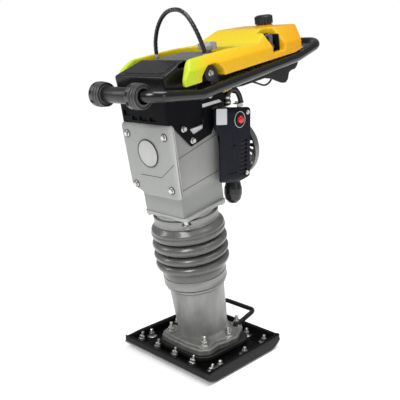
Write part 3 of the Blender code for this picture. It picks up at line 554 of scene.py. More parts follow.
# The bellows' grooves are darkened as painted shade.
BELLOWS = surface(
    "bellows_rubber", "rubber", (0.104, 0.106, 0.102), 0.3, painted_crease_shade=((0.016, 0.016, 0.016), 0.8),
    mottle=0.06, grain=0.25, grain_size=700, coat=0.45,
)
RUBBER = surface("black_rubber", "rubber", (0.02, 0.02, 0.02), 0.5, grain=0.3)
ROPE = surface("loop_rubber", "rubber", (0.007, 0.007, 0.007), 0.3, coat=0.2)
ROLLER = surface(
    "roller_rubber", "roller_rubber", (0.048, 0.048, 0.049), 0.34, grain=0.5, grain_size=500,
    specular=0.6,
)
STEEL = surface(
    "plated_steel", "steel", (0.62, 0.62, 0.6), 0.28, metallic=1.0, mottle=0.12, mottle_size=60
)
BAND = surface(
    "band_steel", "steel", (0.27, 0.27, 0.265), 0.33, metallic=0.8, mottle=0.12, mottle_size=40,
    stretch=(1, 1, 6),
)
MACHINED = surface(
    "machined_steel", "steel", (0.46, 0.46, 0.45), 0.3, metallic=1.0, mottle=0.15, mottle_size=40
)
ALLOY = surface(
    "bare_alloy", "aluminium", (0.28, 0.28, 0.272), 0.36, metallic=0.9, mottle=0.1, mottle_size=30,
    grain=0.5, grain_size=420,
)
RED = surface(
    "primer_red", "red_plastic", (0.62, 0.01, 0.02), 0.18, mottle=0.05, grain=0.0, coat=0.6
)
AMBER = surface(
    "hose_amber", "amber_hose", (0.6, 0.33, 0.05), 0.22, mottle=0.1, grain=0.0, coat=0.4
)
FOAM = surface(
    "filter_foam", "filter_foam", (0.7, 0.52, 0.1), 0.85, mottle=0.3, mottle_size=300, grain=1.0,
    grain_size=500, grain_depth=0.002,
)
SOLE = surface(
    "sole_steel", "sole_steel", (0.2, 0.2, 0.2), 0.42, metallic=0.8, mottle=0.25, mottle_size=25,
    grain=0.5, grain_size=160, grain_depth=0.001, wear=((0.5, 0.5, 0.5), 0.6),
)
BOARD = surface(
    "pad_board", "pad_board", (0.018, 0.017, 0.016), 0.55, mottle=0.3, grain=0.5, grain_size=300
)
LABEL = surface(
    "blank_label", "aluminium", (0.66, 0.67, 0.68), 0.38, metallic=0.25, mottle=0.04, grain=0.05
)
# Painted shade: dark strips and rings laid on the castings stand in for the shade in the case's
# ridge lines, the cover's step, the gap between cover and case and round the cover screws.
SHADE_LINE_DARK = surface("shade_line_dark", "grey_casting", (0.045, 0.045, 0.044), 0.6)
DARK_INK = surface("ring_ink", "black_plastic", (0.03, 0.034, 0.036), 0.4, mottle=0.1, grain=0.0)

# ---------------------------------------------------------------- shoe and foot


def shoe_floor(y):
    """Height of the pan's floor: flat, with a ramp in front and an upturned rear."""
    front = smooth_step(-0.098, -0.152, y) * 0.0185
    rear = smooth_step(0.132, 0.151, y) * 0.0235
    return 0.016 + front + rear


def smooth_step(start, end, value):
    t = max(0, min(1.0, (value - start) / (end - start)))
    return t * t * (3 - 2 * t)


def sole_height(y):
    """Height of the sole's underside."""
    front = max(0, -0.112 - y)
    rear = max(0, y - 0.112)
    return 8.0 * front**2 + 11.3 * rear**2


def add_shoe_pan(bm):
    half_x, half_y, corner = 0.165, 0.158, 0.007
    steps = 84

    def spread(k, half):
        """Positions crowded towards the two ends, where the pan's rims are."""
        t = -1 + 2 * k / steps
        return half * math.copysign(1 - (1 - abs(t)) ** 1.5, t)

    top, low = {}, {}
    for i in range(steps + 1):
        for j in range(steps + 1):
            x, y = spread(i, half_x), spread(j, half_y)
            dx, dy = abs(x) - (half_x - corner), abs(y) - (half_y - corner)
            if dx > 0 and dy > 0:
                pull = max(dx, dy) / math.hypot(dx, dy)
                x = math.copysign(half_x - corner + dx * pull, x)
                y = math.copysign(half_y - corner + dy * pull, y)
            floor = shoe_floor(y)
            rim = 0.0375 + 0.004 * smooth_step(0.09, 0.158, y) - 0.003 * smooth_step(
                -0.09, -0.15, y
            )
            wall = smooth_step(0.1475, 0.1555, abs(x))
            lip = smooth_step(-0.1495, -0.1535, y)
            height = floor + (max(rim, floor) - floor) * wall
            height += (0.0385 - height) * lip
            edge = min(half_x - abs(x), half_y - abs(y))
            round_off = 0.0022
            if edge < round_off:
                height -= round_off - math.sqrt(max(0, round_off**2 - (round_off - edge) ** 2))
            top[i, j] = bm.verts.new((x, y, height))
            low[i, j] = bm.verts.new((x, y, sole_height(y) + 0.0056))
    for i in range(steps):
        for j in range(steps):
            bm.faces.new((top[i, j], top[i + 1, j], top[i + 1, j + 1], top[i, j + 1]))
            bm.faces.new((low[i, j], low[i, j + 1], low[i + 1, j + 1], low[i + 1, j]))
    border = [(k, 0) for k in range(steps)] + [(steps, k) for k in range(steps)]
    border += [(steps - k, steps) for k in range(steps)] + [(0, steps - k) for k in range(steps)]
    for first, second in zip(border, border[1:] + border[:1]):
        bm.faces.new((top[first], low[first], low[second], top[second]))


def build_shoe():
    bm = new()
    add_shoe_pan(bm)
    piece("shoe_pressing", bm, SHOE_BLACK, "shoe_pan", "ram", place=WORLD)

    stations = [-0.158 + 0.316 * k / 60 for k in range(61)]
    under = [(y, sole_height(y)) for y in stations]
    over = [(y, sole_height(y) + 0.005) for y in reversed(stations)]
    bm = shape(add_slab, under + over, -0.165, 0.165)
    piece("wear_plate", bm, SOLE, "sole_plate", "ram", bevel=0.0012, place=WORLD)

    bm = shape(add_prism, rounded(rectangle(-0.099, -0.1, 0.099, 0.116), 0.046, 8), 0.0164, 0.0304)
    piece("foot_pad", bm, BOARD, "damping_pad", "ram", bevel=0.0035, place=WORLD)

    bm = new()
    ramp = (0, 0.32, 0.95)
    for x in (-0.14, -0.07, 0, 0.07, 0.14):
        add_stud(bm, facing((x, -0.115, shoe_floor(-0.115) - 0.0004), ramp), 0.0145, 0.0115, 0.013)
    for x, y in ((0.138, -0.076), (0.137, 0.028), (0.13, 0.125), (0.064, 0.125)):
        for side in (-1, 1):
            add_stud(bm, at(side * x, y, shoe_floor(y) - 0.0002), 0.016, 0.0155, 0.013)
    piece("shoe_nuts", bm, STEEL, body="ram", place=WORLD)


def build_foot():
    half = [
        (0.036, -0.096), (0.076, -0.09), (0.093, -0.066), (0.087, -0.025), (0.093, 0.006),
        (0.094, 0.048), (0.074, 0.086), (0.06, 0.113),
    ]
    bm = shape(add_prism, rounded(mirrored(half), 0.014, 5), 0.0306, 0.0475)
    inner = [
        (0.03, -0.086), (0.06, -0.08), (0.082, -0.056), (0.074, -0.025), (0.082, 0.006),
        (0.083, 0.044), (0.062, 0.08), (0.048, 0.103),
    ]
    add_prism(bm, rounded(mirrored(inner), 0.012, 5), 0.046, 0.0525)
    piece("foot_flange", bm, FOOT_CAST, body="ram", bevel=0.0026, place=WORLD)

    bm = new()
    studs = ((0.0665, -0.062), (0.076, 0.026), (0.043, 0.102))
    for x, y in studs:
        for side in (-1, 1):
            add_lathe(
                bm, [(0, 0.046), (0.0165, 0.046), (0.0158, 0.0512), (0.014, 0.0532), (0, 0.0532)],
                at(side * x, y, 0), 28,
            )
    piece("foot_bosses", bm, FOOT_CAST, body="ram", place=WORLD, sharp=50)

    bm = new()
    for x, y in studs:
        for side in (-1, 1):
            add_stud(bm, at(side * x, y, 0.053), 0.0165, 0.0155, 0.017)
    piece("foot_nuts", bm, STEEL, body="ram", place=WORLD)

    profile = [
        (0.06, 0.044), (0.082, 0.044), (0.0765, 0.058, 0.012), (0.0715, 0.076, 0.03),
        (0.0735, 0.118, 0.06), (0.0775, 0.216, 0.004), (0.083, 0.2195, 0.0016),
        (0.0852, 0.2225, 0.0012), (0.0852, 0.2285, 0.0012), (0.0775, 0.2295, 0.0006),
        (0.076, 0.246), (0.057, 0.246), (0.057, 0.09),
    ]
    bm = shape(add_turned, profile, sides=96, steps=5)
    piece("ram_barrel", bm, RAM_CAST, "ram_cylinder", "ram")
    points = [(0.048, 0.088, 0.0578), (0.0515, 0.106, 0.0578), (0.06, 0.1655, 0.082)]
    path = rounded(mirrored(points), 0.011, 6, closed=False, size=3)
    bm = shape(add_tube, path, 0.0066, 20)
    for side in (-1, 1):
        add_disc(bm, 0.0085, 0.003, 0.006, 0.0046, at(side * 0.048, 0.092, 0.0515), 20)
    piece("grab_rail", bm, PAINTED, "grab_bar", "ram", place=WORLD)


def build_bellows():
    grooves = [0.28, 0.3091, 0.337, 0.37]
    crests = [0.103, 0.104, 0.104]
    waist = 0.0835
    profile = [
        (0.08, 0.233), (0.0866, 0.2332), (0.0872, 0.256), (0.0886, 0.26), (0.0892, 0.272),
        (0.09, 0.2796),
    ]
    for low, high, crest in zip(grooves, grooves[1:], crests):
        count = 18
        foot = 0.0895 if low == grooves[0] else waist
        for k in range(count):
            t = k / count
            side = foot if t < 0.5 else waist
            radius = side + (crest - side) * max(0, math.sin(math.pi * t)) ** 0.5
            profile.append((radius, low + (high - low) * t))
    shoulder = [
        (waist, 0.37), (0.0925, 0.3722), (0.0992, 0.3768), (0.1018, 0.3838), (0.1016, 0.389),
        (0.0998, 0.3925), (0.1004, 0.3965), (0.0982, 0.401), (0.0928, 0.4062), (0.0886, 0.4105),
        (0.0864, 0.415),
    ]
    profile += [(p.x, p.y) for p in spline(shoulder, 4)]
    profile += [(0.0866, 0.418), (0.0868, 0.4385), (0.08, 0.4388)]
    bm = shape(add_lathe, profile, sides=128)
    boot = piece("bellows_boot", bm, BELLOWS, "bellows", None, sharp=60)
    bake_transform(boot)

    for name, body, low, high, node in (
        ("clamp_lower", "ram", 0.2325, 0.2575, "lower_clamp"),
        ("clamp_upper", "machine", 0.415, 0.4375, "upper_clamp"),
    ):
        outer = 0.0892 if body == "ram" else 0.0886
        band = [
            (0.087, low), (outer, low, 0.0006), (outer, low + 0.0025),
            (outer - 0.0005, low + 0.0034), (outer - 0.0005, high - 0.0034), (outer, high - 0.0025),
            (outer, high, 0.0006), (0.087, high),
        ]
        bm = shape(add_turned, band, sides=112, closed=True)
        middle = (low + high) / 2
        post = about("Z", -44 if body == "machine" else 120) @ at(outer + 0.003, 0, middle)
        add_box(bm, (-0.0034, -0.006, -0.0085), (0.003, 0.006, 0.0085), post)
        add_rod(bm, 0.004, -0.012, 0.012, post @ at(0.0012, 0, 0) @ about("X", 90), 18)
        piece(name, bm, BAND, node, body, sharp=40)


# ---------------------------------------------------------------- crankcase


def build_crankcase():
    half, front, back = 0.0762, -0.074, 0.0805
    outline = [
        (-half, 0.7), (-half, 0.524), (-0.071, 0.502), (-0.0705, 0.447), (0.0705, 0.447),
        (0.071, 0.502), (half, 0.524), (half, 0.7),
    ]
    bm = shape(add_prism, outline, front, back, ALONG["b"])
    flange = shape(
        add_prism, rounded(rectangle(-0.0785, -0.0765, 0.0785, 0.0835), 0.012, 5), 0.4436, 0.453
    )
    chamber = shape(add_box, (-0.069, -0.066, 0.499), (0.069, 0.054, 0.693))
    mouth = shape(add_box, (-0.069, -0.2, 0.528), (0.069, 0.054, 0.693))
    seat = shape(add_rod, 0.0203, 0.002, 0.07, at(0, 0.078, CRANK_S) @ about("X", 90), 36)
    hole = shape(add_rod, 0.0163, -0.06, 0.09, at(0, 0.07, ENGINE_S) @ about("X", 90), 32)
    down = shape(add_rod, 0.044, 0.4, 0.55, sides=48)
    piece(
        "gear_case", bm, CASTING, "crankcase", joins=(flange,),
        cuts=(chamber, mouth, seat, hole, down), bevel=0.003,
    )

    # Painted shade: dark strips along the case's two ridge lines.
    bm = new()
    for side in (-1, 1):
        for (b0, s0), (b1, s1) in (
            ((-0.07, 0.61), (0.077, 0.632)), ((-0.07, 0.5265), (0.077, 0.537))
        ):
            add_slab(
                bm, [(b0, s0), (b1, s1), (b1, s1 + 0.0014), (b0, s0 + 0.0014)], half - 0.001,
                half + 0.0003, side,
            )
    # Painted shade: this outline is a dark sheet in the gap between cover and case, standing in for
    # the gap's shade.
    gasket = [(-0.079, 0.699), (-0.079, 0.517), (-0.03, 0.51), (0.079, 0.511), (0.079, 0.699)]
    add_prism(bm, rounded(gasket, 0.008, 4), -0.0746, -0.0738, ALONG["b"])
    piece("case_shade_lines", bm, SHADE_LINE_DARK)

    bm = new()
    for x, b in ((-0.07, -0.068), (0.07, -0.068), (-0.07, 0.075), (0.07, 0.075)):
        flip = at(x, b, 0.4438) @ about("X", 180)
        add_screw_head(bm, flip, 0.0072, 0.008)
    piece("case_screws", bm, STEEL)


def build_cover():
    front, back = -0.0976, -0.0742
    corners = [
        (-0.0925, 0.701), (-0.0905, 0.529), (-0.038, 0.508), (0.088, 0.5095), (0.0925, 0.701)
    ]
    bm = shape(add_prism, rounded(corners, 0.013, 6), front + 0.003, back, ALONG["b"])
    piece("case_cover", bm, COVER, "crankcase_cover", bevel=0.0105, segments=5)

    # Painted shade: a dark strip along the step line across the cover.
    line = [(-0.042, 0.565), (0.036, 0.5655), (0.086, 0.604)]
    step_shade = line + [(x, s + 0.0016) for x, s in reversed(line)]
    bm = shape(add_prism, step_shade, front + 0.0027, front + 0.004, ALONG["b"])
    piece("cover_shade_line", bm, SHADE_LINE_DARK)

    toward_viewer = about("X", 90)
    seat = at(0, front + 0.0024, 0.626) @ toward_viewer
    bm = shape(add_disc, 0.0352, 0.001, 0.0345, 0.0016, seat, 96)
    piece("badge_disc", bm, COVER)
    bm = shape(
        add_lathe,
        [(0.0338, 0.0012), (0.0338, 0.0022), (0.0352, 0.0024), (0.0366, 0.0018), (0.0366, 0.0006)],
        seat, 96, closed=True,
    )
    piece("badge_ring", bm, DARK_INK, sharp=60)

    # Painted shade: dark rings round the cover screws.
    shade_rings = new()
    for k, (x, s) in enumerate(
        ((-0.068, 0.6725), (0.068, 0.6725), (-0.066, 0.5365), (0.066, 0.5365)), 1
    ):
        place = at(x, front + 0.0028, s) @ toward_viewer
        bm = shape(add_screw_head, place, 0.008, 0.0068)
        piece(f"cover_screw_{k}", bm, STEEL, f"cover_bolt_{k}")
        add_lathe(
            shade_rings, [(0.0082, 0), (0.0104, 0), (0.0104, 0.0004), (0.0082, 0.0006)], place, 36,
            closed=True,
        )
    piece("cover_screw_shade_rings", shade_rings, SHADE_LINE_DARK)


# ---------------------------------------------------------------- console and hood


def build_console():
    low, high = 0.7012, 0.758
    bm = shape(
        add_prism,
        rounded([(-0.085, -0.09), (0.085, -0.09), (0.08, 0.069), (-0.08, 0.069)], 0.006, 4), low,
        high,
    )
    hollow = shape(add_box, (-0.079, -0.083, 0.709), (0.079, 0.063, 0.78))
    recesses = []
    for x0, x1, s0, s1 in (
        (-0.074, -0.05, 0.718, 0.733), (-0.044, -0.024, 0.708, 0.718),
        (-0.017, 0.014, 0.708, 0.7185), (0.021, 0.044, 0.708, 0.718),
    ):
        recesses.append(shape(add_box, (x0, -0.1, s0), (x1, -0.0862, s1)))
    for b0, s0 in ((0, 0.72), (0.026, 0.72)):
        recesses.append(shape(add_box, (0.079, b0, s0), (0.1, b0 + 0.018, s0 + 0.018)))
    piece(
        "console_body", bm, CONSOLE_BLACK, "front_console", cuts=(hollow, *recesses), bevel=0.0022,
    )

    side = [
        (-0.088, 0.759), (-0.088, 0.703), (-0.0715, 0.69), (-0.0225, 0.63), (0.053, 0.642),
        (0.069, 0.664), (0.069, 0.756), (0.076, 0.77), (0.076, 0.818), (0.042, 0.818),
        (0.029, 0.759),
    ]
    window = [(-0.02, 0.673), (-0.0085, 0.656), (0.029, 0.662), (0.04, 0.713), (0.006, 0.713)]
    for name, sign in SIDES:
        inner = 0.0786
        bm = shape(add_slab, rounded(side, 0.004, 3), inner, inner + 0.0044, sign)
        opening = shape(add_slab, rounded(window, 0.003, 3), -0.2, 0.2)
        piece(f"side_bracket_{name}", bm, CONSOLE_BLACK, cuts=(opening,), bevel=0.0012, segments=2)
        bm = new()
        for b, s in ((-0.042, 0.68), (-0.0165, 0.644)):
            place = at(sign * (inner + 0.0042), b, s) @ about("Y", sign * 90)
            add_screw_head(bm, place, 0.008, 0.007)
        piece(f"bracket_screws_{name}", bm, STEEL)

    strip = [(-0.018, 0.6722), (-0.01, 0.656), (0.029, 0.6622), (0.0272, 0.6712)]
    bm = shape(add_slab, strip, 0.0772, 0.079)
    piece("maker_plate", bm, LABEL, bevel=0.0003, segments=2)
    bm = new()
    for side in (-1, 1):
        add_slab(
            bm, [(-0.0215, 0.6732), (0.031, 0.6722), (0.042, 0.715), (0.004, 0.715)], 0.0764,
            0.0776, side,
        )
    piece("bracket_backs", bm, CONSOLE_BLACK, bevel=0.0003, segments=2)
    bm = new()
    wing = [
        (0.05, 0.76), (0.108, 0.756), (0.108, 0.74), (0.123, 0.725), (0.105, 0.706), (0.05, 0.706)
    ]
    for side in (-1, 1):
        add_slab(bm, rounded(wing, 0.003, 3), 0.0802, 0.0838, side)
    piece("bracket_wings", bm, CONSOLE_BLACK, bevel=0.0008, segments=2)
    bm = shape(
        add_slab, [(0.032, 0.7235), (0.095, 0.7205), (0.103, 0.7125), (0.032, 0.715)], 0.0836,
        0.0843,
    )
    add_slab(bm, circle(0.065, 0.739, 0.0085, 32), 0.0836, 0.0843)
    piece("bracket_decals", bm, LABEL)


def build_hood():
    profile = [
        (-0.085, 0.765), (0.018, 0.765), (0.018, 0.8345, 0.006), (-0.004, 0.839, 0.01),
        (-0.0862, 0.816, 0.005),
    ]
    bm = shape(add_slab, rounded(profile, 0, 5), -0.0888, 0.0888)
    inside = [(-0.076, 0.75), (0.014, 0.75), (0.014, 0.829), (-0.006, 0.8335), (-0.076, 0.8135)]
    hollow = shape(add_slab, inside, -0.083, 0.083)
    tapers = []
    for sign in (-1, 1):
        corner = [
            (sign * 0.0895, 0.8), (sign * 0.0878, 0.819, 0.01), (sign * 0.07, 0.844),
            (sign * 0.12, 0.844), (sign * 0.12, 0.8),
        ]
        tapers.append(shape(add_prism, rounded(corner, 0, 4), -0.2, 0.2, ALONG["b"]))
    groove = shape(add_box, (-0.07, -0.1, 0.78), (0.07, -0.0855, 0.7836))
    moulded_piece(
        "air_hood", bm, (hollow, *tapers), 0.0022, 5, [(groove, "DIFFERENCE")], HOOD_BLACK,
        "machine", "air_filter_hood",
    )

    lid = [(-0.07, -0.074), (0.07, -0.074), (0.063, -0.009), (-0.063, -0.009)]
    tilt = math.atan2(0.839 - 0.816, 0.0862 - 0.004)
    plane = at(0, -0.043, 0.8284) @ Matrix.Rotation(tilt, 4, "X") @ at(0, 0.043, 0)
    bm = shape(add_prism, rounded(lid, 0.008, 5), -0.002, 0.0011, plane)
    piece("hood_lid", bm, HOOD_BLACK, bevel=0.001, segments=3)

    back_profile = [
        (0.02, 0.76), (0.155, 0.76), (0.155, 0.825), (0.148, 0.8318), (0.027, 0.8318), (0.02, 0.825)
    ]
    bm = shape(add_slab, back_profile, -0.075, 0.075)
    groove = shape(add_box, (-0.064, 0.062, 0.8302), (0.064, 0.065, 0.84))
    piece("rear_housing", bm, SMOKE, "rear_cover", cuts=(groove,), bevel=0.003)

    knob = [
        (0, 0), (0.009, 0), (0.0092, 0.005), (0.015, 0.006, 0.001), (0.015, 0.016, 0.004),
        (0.011, 0.022, 0.004), (0, 0.027),
    ]
    knob_place = at(0.03, 0.134, 0.8326)
    bm = shape(add_turned, knob, knob_place, 40, 4)
    wing = [
        (-0.0235, 0.007), (-0.019, 0.007), (0.019, 0.007), (0.0235, 0.007), (0.024, 0.024),
        (0.014, 0.0262), (0, 0.0215), (-0.014, 0.0262), (-0.024, 0.024),
    ]
    turn = knob_place @ about("Z", 25) @ about("X", 90)
    grip = shape(add_prism, rounded(wing, 0.003, 4), -0.0048, 0.0048, turn)
    piece(
        "filter_wing_knob", bm, KNOB_GREY, "filter_knob", "knob", joins=(grip,), bevel=0.001,
        segments=2,
    )


def build_lifting_loop():
    """A rubber-sleeved wire rope that stands up in an arch between two pressed ferrules."""
    route = [
        (-0.0876, 0.8385), (-0.087, 0.856), (-0.0825, 0.878), (-0.07, 0.905), (-0.05, 0.929),
        (-0.027, 0.944), (-0.003, 0.949), (0.02, 0.9465), (0.04, 0.935), (0.056, 0.916),
        (0.069, 0.893), (0.079, 0.87), (0.0855, 0.85), (0.0876, 0.8385),
    ]
    path = [LEG @ p for p in spline([(x, LOOP_B, s) for x, s in route], 9)]
    bm = shape(add_tube, path, 0.0055, 36, twist=laid(0.0053, 0.0003, 0.03))
    rope = piece("lifting_rope", bm, ROPE, "lifting_loop", place=WORLD, sharp=80)
    length = sum((b - a).length for a, b in zip(path, path[1:]))
    tuple(path[0])
    [tuple(p) for p in path]
    bm = new()
    for sign in (-1, 1):
        profile = [
            (0, 0), (0.0058, 0), (0.0062, 0.002), (0.0062, 0.0125), (0.0054, 0.015), (0, 0.015)
        ]
        add_lathe(bm, profile, at(sign * 0.0878, LOOP_B, 0.827), 24)
        add_rod(bm, 0.0046, 0, 0.023, at(sign * 0.0878, LOOP_B, 0.805), 20)
    piece("loop_ferrules", bm, STEEL)


# ---------------------------------------------------------------- handle frame


def build_handle():
    half, front_b, front_s = 0.116, -0.149, 0.785
    left = [
        (half, front_b, front_s, 0.045), (half, 0, 0.757, 0.08), (half, 0.4, 0.77, 0.2),
        (half, 0.522, 0.7905, 0.04),
    ]
    bm = shape(add_tube, rounded(mirrored(left), 0, 12, size=3), 0.014, 28, closed=True)
    piece("handle_loop", bm, TUBE_BLACK, "handle_tube", "handle")

    sideways = about("Y", 90)
    axle = at(0, front_b, front_s) @ sideways
    sleeve = [
        (0.0146, -0.0468), (0.0192, -0.0468, 0.001), (0.0192, 0.0468, 0.001), (0.0146, 0.0468)
    ]
    bm = shape(add_turned, sleeve, axle, 56, 3, closed=True)
    piece("grip_sleeve", bm, SLEEVE_BLACK, "roller_sleeve", "handle")
    for name, body, node, sign in (
        ("left", "roller_l", "roller_left", 1), ("right", "roller_r", "roller_right", -1)
    ):
        wheel = at(sign * 0.0665, front_b, front_s) @ sideways
        profile = [
            (0.0182, -0.0175), (0.0225, -0.0175, 0.001), (0.0236, -0.0155), (0.0262, -0.0155),
            (0.0268, -0.0175, 0.001), (0.03, -0.017, 0.002), (0.0308, -0.001, 0.002),
            (0.0272, 0.0005, 0.001), (0.0272, 0.0035, 0.001), (0.03, 0.0045, 0.001),
            (0.03, 0.0085, 0.001), (0.0276, 0.0095, 0.001), (0.0276, 0.012, 0.001),
            (0.0292, 0.013, 0.001), (0.0288, 0.0175, 0.001), (0.0262, 0.0175, 0.001),
            (0.0256, 0.015), (0.0236, 0.015), (0.0225, 0.0175, 0.001), (0.0182, 0.0175),
            (0.0154, 0.003), (0.0154, -0.003),
        ]
        bm = shape(add_turned, profile, wheel, 72, 3, closed=True)
        notches = []
        for k in range(8):
            post = wheel @ around(k + 0.5, 8) @ at(0.0322, 0, 0)
            notches.append(shape(add_rod, 0.0058, -0.014, -0.003, post, 16))
        piece(
            f"roller_wheel_{name}", bm, ROLLER, node, body, cuts=notches, bevel=0.0007, segments=2,
        )

    rail = [
        (0.09, 0.783), (0.09, 0.754), (0.13, 0.742), (0.176, 0.737), (0.27, 0.737), (0.3, 0.729),
        (0.32, 0.719), (0.345, 0.708), (0.362, 0.705), (0.374, 0.712), (0.382, 0.73),
        (0.395, 0.734), (0.412, 0.734), (0.424, 0.742), (0.436, 0.762), (0.448, 0.783),
    ]
    for name, sign in SIDES:
        bm = shape(add_slab, rounded(rail, 0.006, 3), 0.0946, 0.0996, sign)
        hole = shape(add_slab, circle(0.38, 0.756, 0.0042, 20), -0.2, 0.2)
        slot = shape(add_slab, rounded(rectangle(0.15, 0.748, 0.23, 0.756), 0.003, 4), -0.2, 0.2)
        piece(
            f"handle_rail_{name}", bm, PAINTED, f"side_rail_{name}", "handle", cuts=(hole, slot),
            bevel=0.001, segments=2,
        )
    for name, b in (("front", 0.2), ("rear", 0.415)):
        section = rounded(rectangle(b, 0.764, b + 0.02, 0.782), 0.0025, 3)
        bm = shape(add_slab, section, -0.0941, 0.0941)
        piece(
            f"cross_tube_{name}", bm, PAINTED, f"{name}_crossmember", "handle", bevel=0.0008,
            segments=2,
        )


def build_shock_mounts():
    for name, sign in SIDES:
        outward = about("Y", sign * 90)
        rubber = [
            (0, 0), (0.0188, 0, 0.001), (0.019, 0.006, 0.002), (0.0174, 0.01, 0.004),
            (0.019, 0.014, 0.002), (0.0188, 0.02, 0.001), (0, 0.02),
        ]
        bm = shape(add_turned, rubber, at(sign * 0.094, MOUNT_B, PIVOT_S) @ outward, 48, 4)
        piece(f"mount_rubber_{name}", bm, RUBBER, f"shock_mount_{name}")
        bm = shape(add_rod, 0.0058, 0, 0.04, at(sign * 0.0765, MOUNT_B, PIVOT_S) @ outward, 20)
        add_screw_head(bm, at(sign * 0.1138, MOUNT_B, PIVOT_S) @ outward, 0.0078, 0.0062)
        piece(f"mount_screw_{name}", bm, STEEL)


# ---------------------------------------------------------------- tank


def moulded_piece(name, bm, cuts, voxel, rounds, crisp, look, body, cad):
    """A thick-walled moulding: remeshed and relaxed so that every edge has a soft radius."""
    obj = to_object(name, bm)
    for other in cuts:
        boolean(obj, other, "DIFFERENCE")
    remesh = obj.modifiers.new("skin", "REMESH")
    remesh.mode, remesh.voxel_size = "VOXEL", voxel
    relax = obj.modifiers.new("relax", "SMOOTH")
    relax.factor, relax.iterations = 0.5, rounds
    bake(obj)
    for other, operation in crisp:
        boolean(obj, other, operation)
    obj.data.transform(LEG)
    obj.data.shade_smooth()
    obj.data.set_sharp_from_angle(angle=SHARP_MOULDING)
    finish_piece(obj, look, body, cad)


def build_tank():
    side = [
        (-0.0545, 0.785, 0.003), (0.39, 0.785, 0.003), (0.46, 0.7975, 0.006), (0.452, 0.824, 0.02),
        (0.439, 0.856, 0.01), (0.306, 0.864, 0.015), (0.234, 0.835, 0.02), (0.13, 0.842, 0.03),
        (-0.018, 0.842, 0.034), (-0.058, 0.799, 0.024),
    ]
    bm = shape(add_slab, rounded(side, 0, 5), -0.126, 0.126)
    cuts = []
    for sign in (-1, 1):
        taper = shape(
            add_prism,
            [
                (sign * 0.127, 0.8165), (sign * 0.057, 0.9005), (sign * 0.19, 0.9005),
                (sign * 0.19, 0.8165),
            ],
            -0.6, 0.6, ALONG["b"],
        )
        corner = shape(
            add_prism, [(sign * 0.139, 0.406), (sign * 0.139, 0.56), (-sign * 0.03, 0.521)], 0.7,
            0.95,
        )
        nose = shape(
            add_prism,
            [
                (sign * 0.09, -0.1), (sign * 0.118, -0.1), (sign * 0.116, -0.056),
                (sign * 0.106, -0.038), (sign * 0.094, -0.01), (sign * 0.09, -0.01),
            ],
            0.7, 0.95,
        )
        cuts += [taper, corner, nose]
    gap = shape(add_box, (-0.0965, -0.2, 0.7), (0.0965, 0.199, 1.0))
    opening = [
        (0.003, 0.76), (0.003, 0.796), (0.025, 0.818), (0.062, 0.819), (0.085, 0.798), (0.085, 0.76)
    ]
    arch = shape(add_slab, rounded(opening, 0.016, 5), -0.2, 0.2)
    foot = shape(add_box, (-0.2, 0.003, 0.76), (0.2, 0.085, 0.787))
    pocket = shape(add_box, (0.073, 0.286, 0.801), (0.15, 0.338, 0.872))
    cuts += [gap, arch, foot, pocket]
    neck_profile = [
        (0, 0.848), (0.025, 0.848), (0.0245, 0.86, 0.001), (0.0195, 0.8605, 0.001),
        (0.0195, 0.872, 0.001), (0, 0.872),
    ]
    neck = shape(add_turned, neck_profile, at(0, FILLER_B, 0), 48, 3)
    bore = shape(add_rod, 0.016, 0.83, 0.9, at(0, FILLER_B, 0), 40)
    crisp = [(neck, "UNION"), (bore, "DIFFERENCE")]
    moulded_piece("fuel_tank_shell", bm, cuts, 0.0027, 9, crisp, YELLOW, "handle", "fuel_tank")

    bm = shape(add_box, (0.0728, 0.289, 0.8015), (0.1085, 0.335, 0.8032))
    add_box(bm, (0.0728, 0.289, 0.8015), (0.0745, 0.335, 0.848))
    for b in (0.2885, 0.334):
        add_box(bm, (0.0728, b, 0.8015), (0.108, b + 0.0017, 0.844))
    piece("lever_pocket_liner", bm, CAP_BLACK, body="handle", bevel=0.0005, segments=2)

    blade = [
        (0.306, 0.809, 0.003), (0.318, 0.809, 0.003), (0.32, 0.844, 0.003), (0.318, 0.848, 0.002),
        (0.306, 0.848, 0.002), (0.304, 0.844, 0.003),
    ]
    bm = shape(add_slab, rounded(blade, 0, 4), 0.0855, 0.0985)
    hub, ribs = new(), []
    add_rod(hub, 0.0075, -0.01, 0.01, at(0.092, 0.312, 0.813) @ about("Y", 90), 28)
    for k in range(4):
        ribs.append(
            shape(add_box, (0.084, 0.3, 0.825 + 0.005 * k), (0.101, 0.3052, 0.8268 + 0.005 * k))
        )
    piece(
        "throttle_blade", bm, SMOKE, "throttle_lever", "throttle", joins=(hub,), cuts=ribs,
        bevel=0.0008, segments=2,
    )

    profile = [
        (0, 0.012), (0.0195, 0.012, 0.003), (0.0262, 0.0085, 0.003), (0.0262, -0.01, 0.001),
        (0.024, -0.0125, 0.001), (0.0205, -0.0125, 0.0005), (0.0205, 0), (0, 0),
    ]
    cap_place = at(0, FILLER_B, 0.8748)
    bm = shape(add_turned, profile, cap_place, 72, 3)
    grips = []
    for k in range(20):
        post = cap_place @ around(k, 20) @ at(0.0279, 0, 0)
        grips.append(
            shape(
                add_lathe, [(0, -0.014), (0.0026, -0.014), (0.0026, 0.008), (0, 0.0085)], post, 14
            ),
        )
    ring = shape(
        add_lathe, [(0.012, 0.011), (0.016, 0.011), (0.016, 0.013), (0.012, 0.013)], cap_place, 56,
        closed=True,
    )
    piece(
        "tank_cap", bm, CAP_BLACK, "fuel_cap", "cap", cuts=(*grips, ring), bevel=0.0005, segments=2,
    )


# ---------------------------------------------------------------- engine


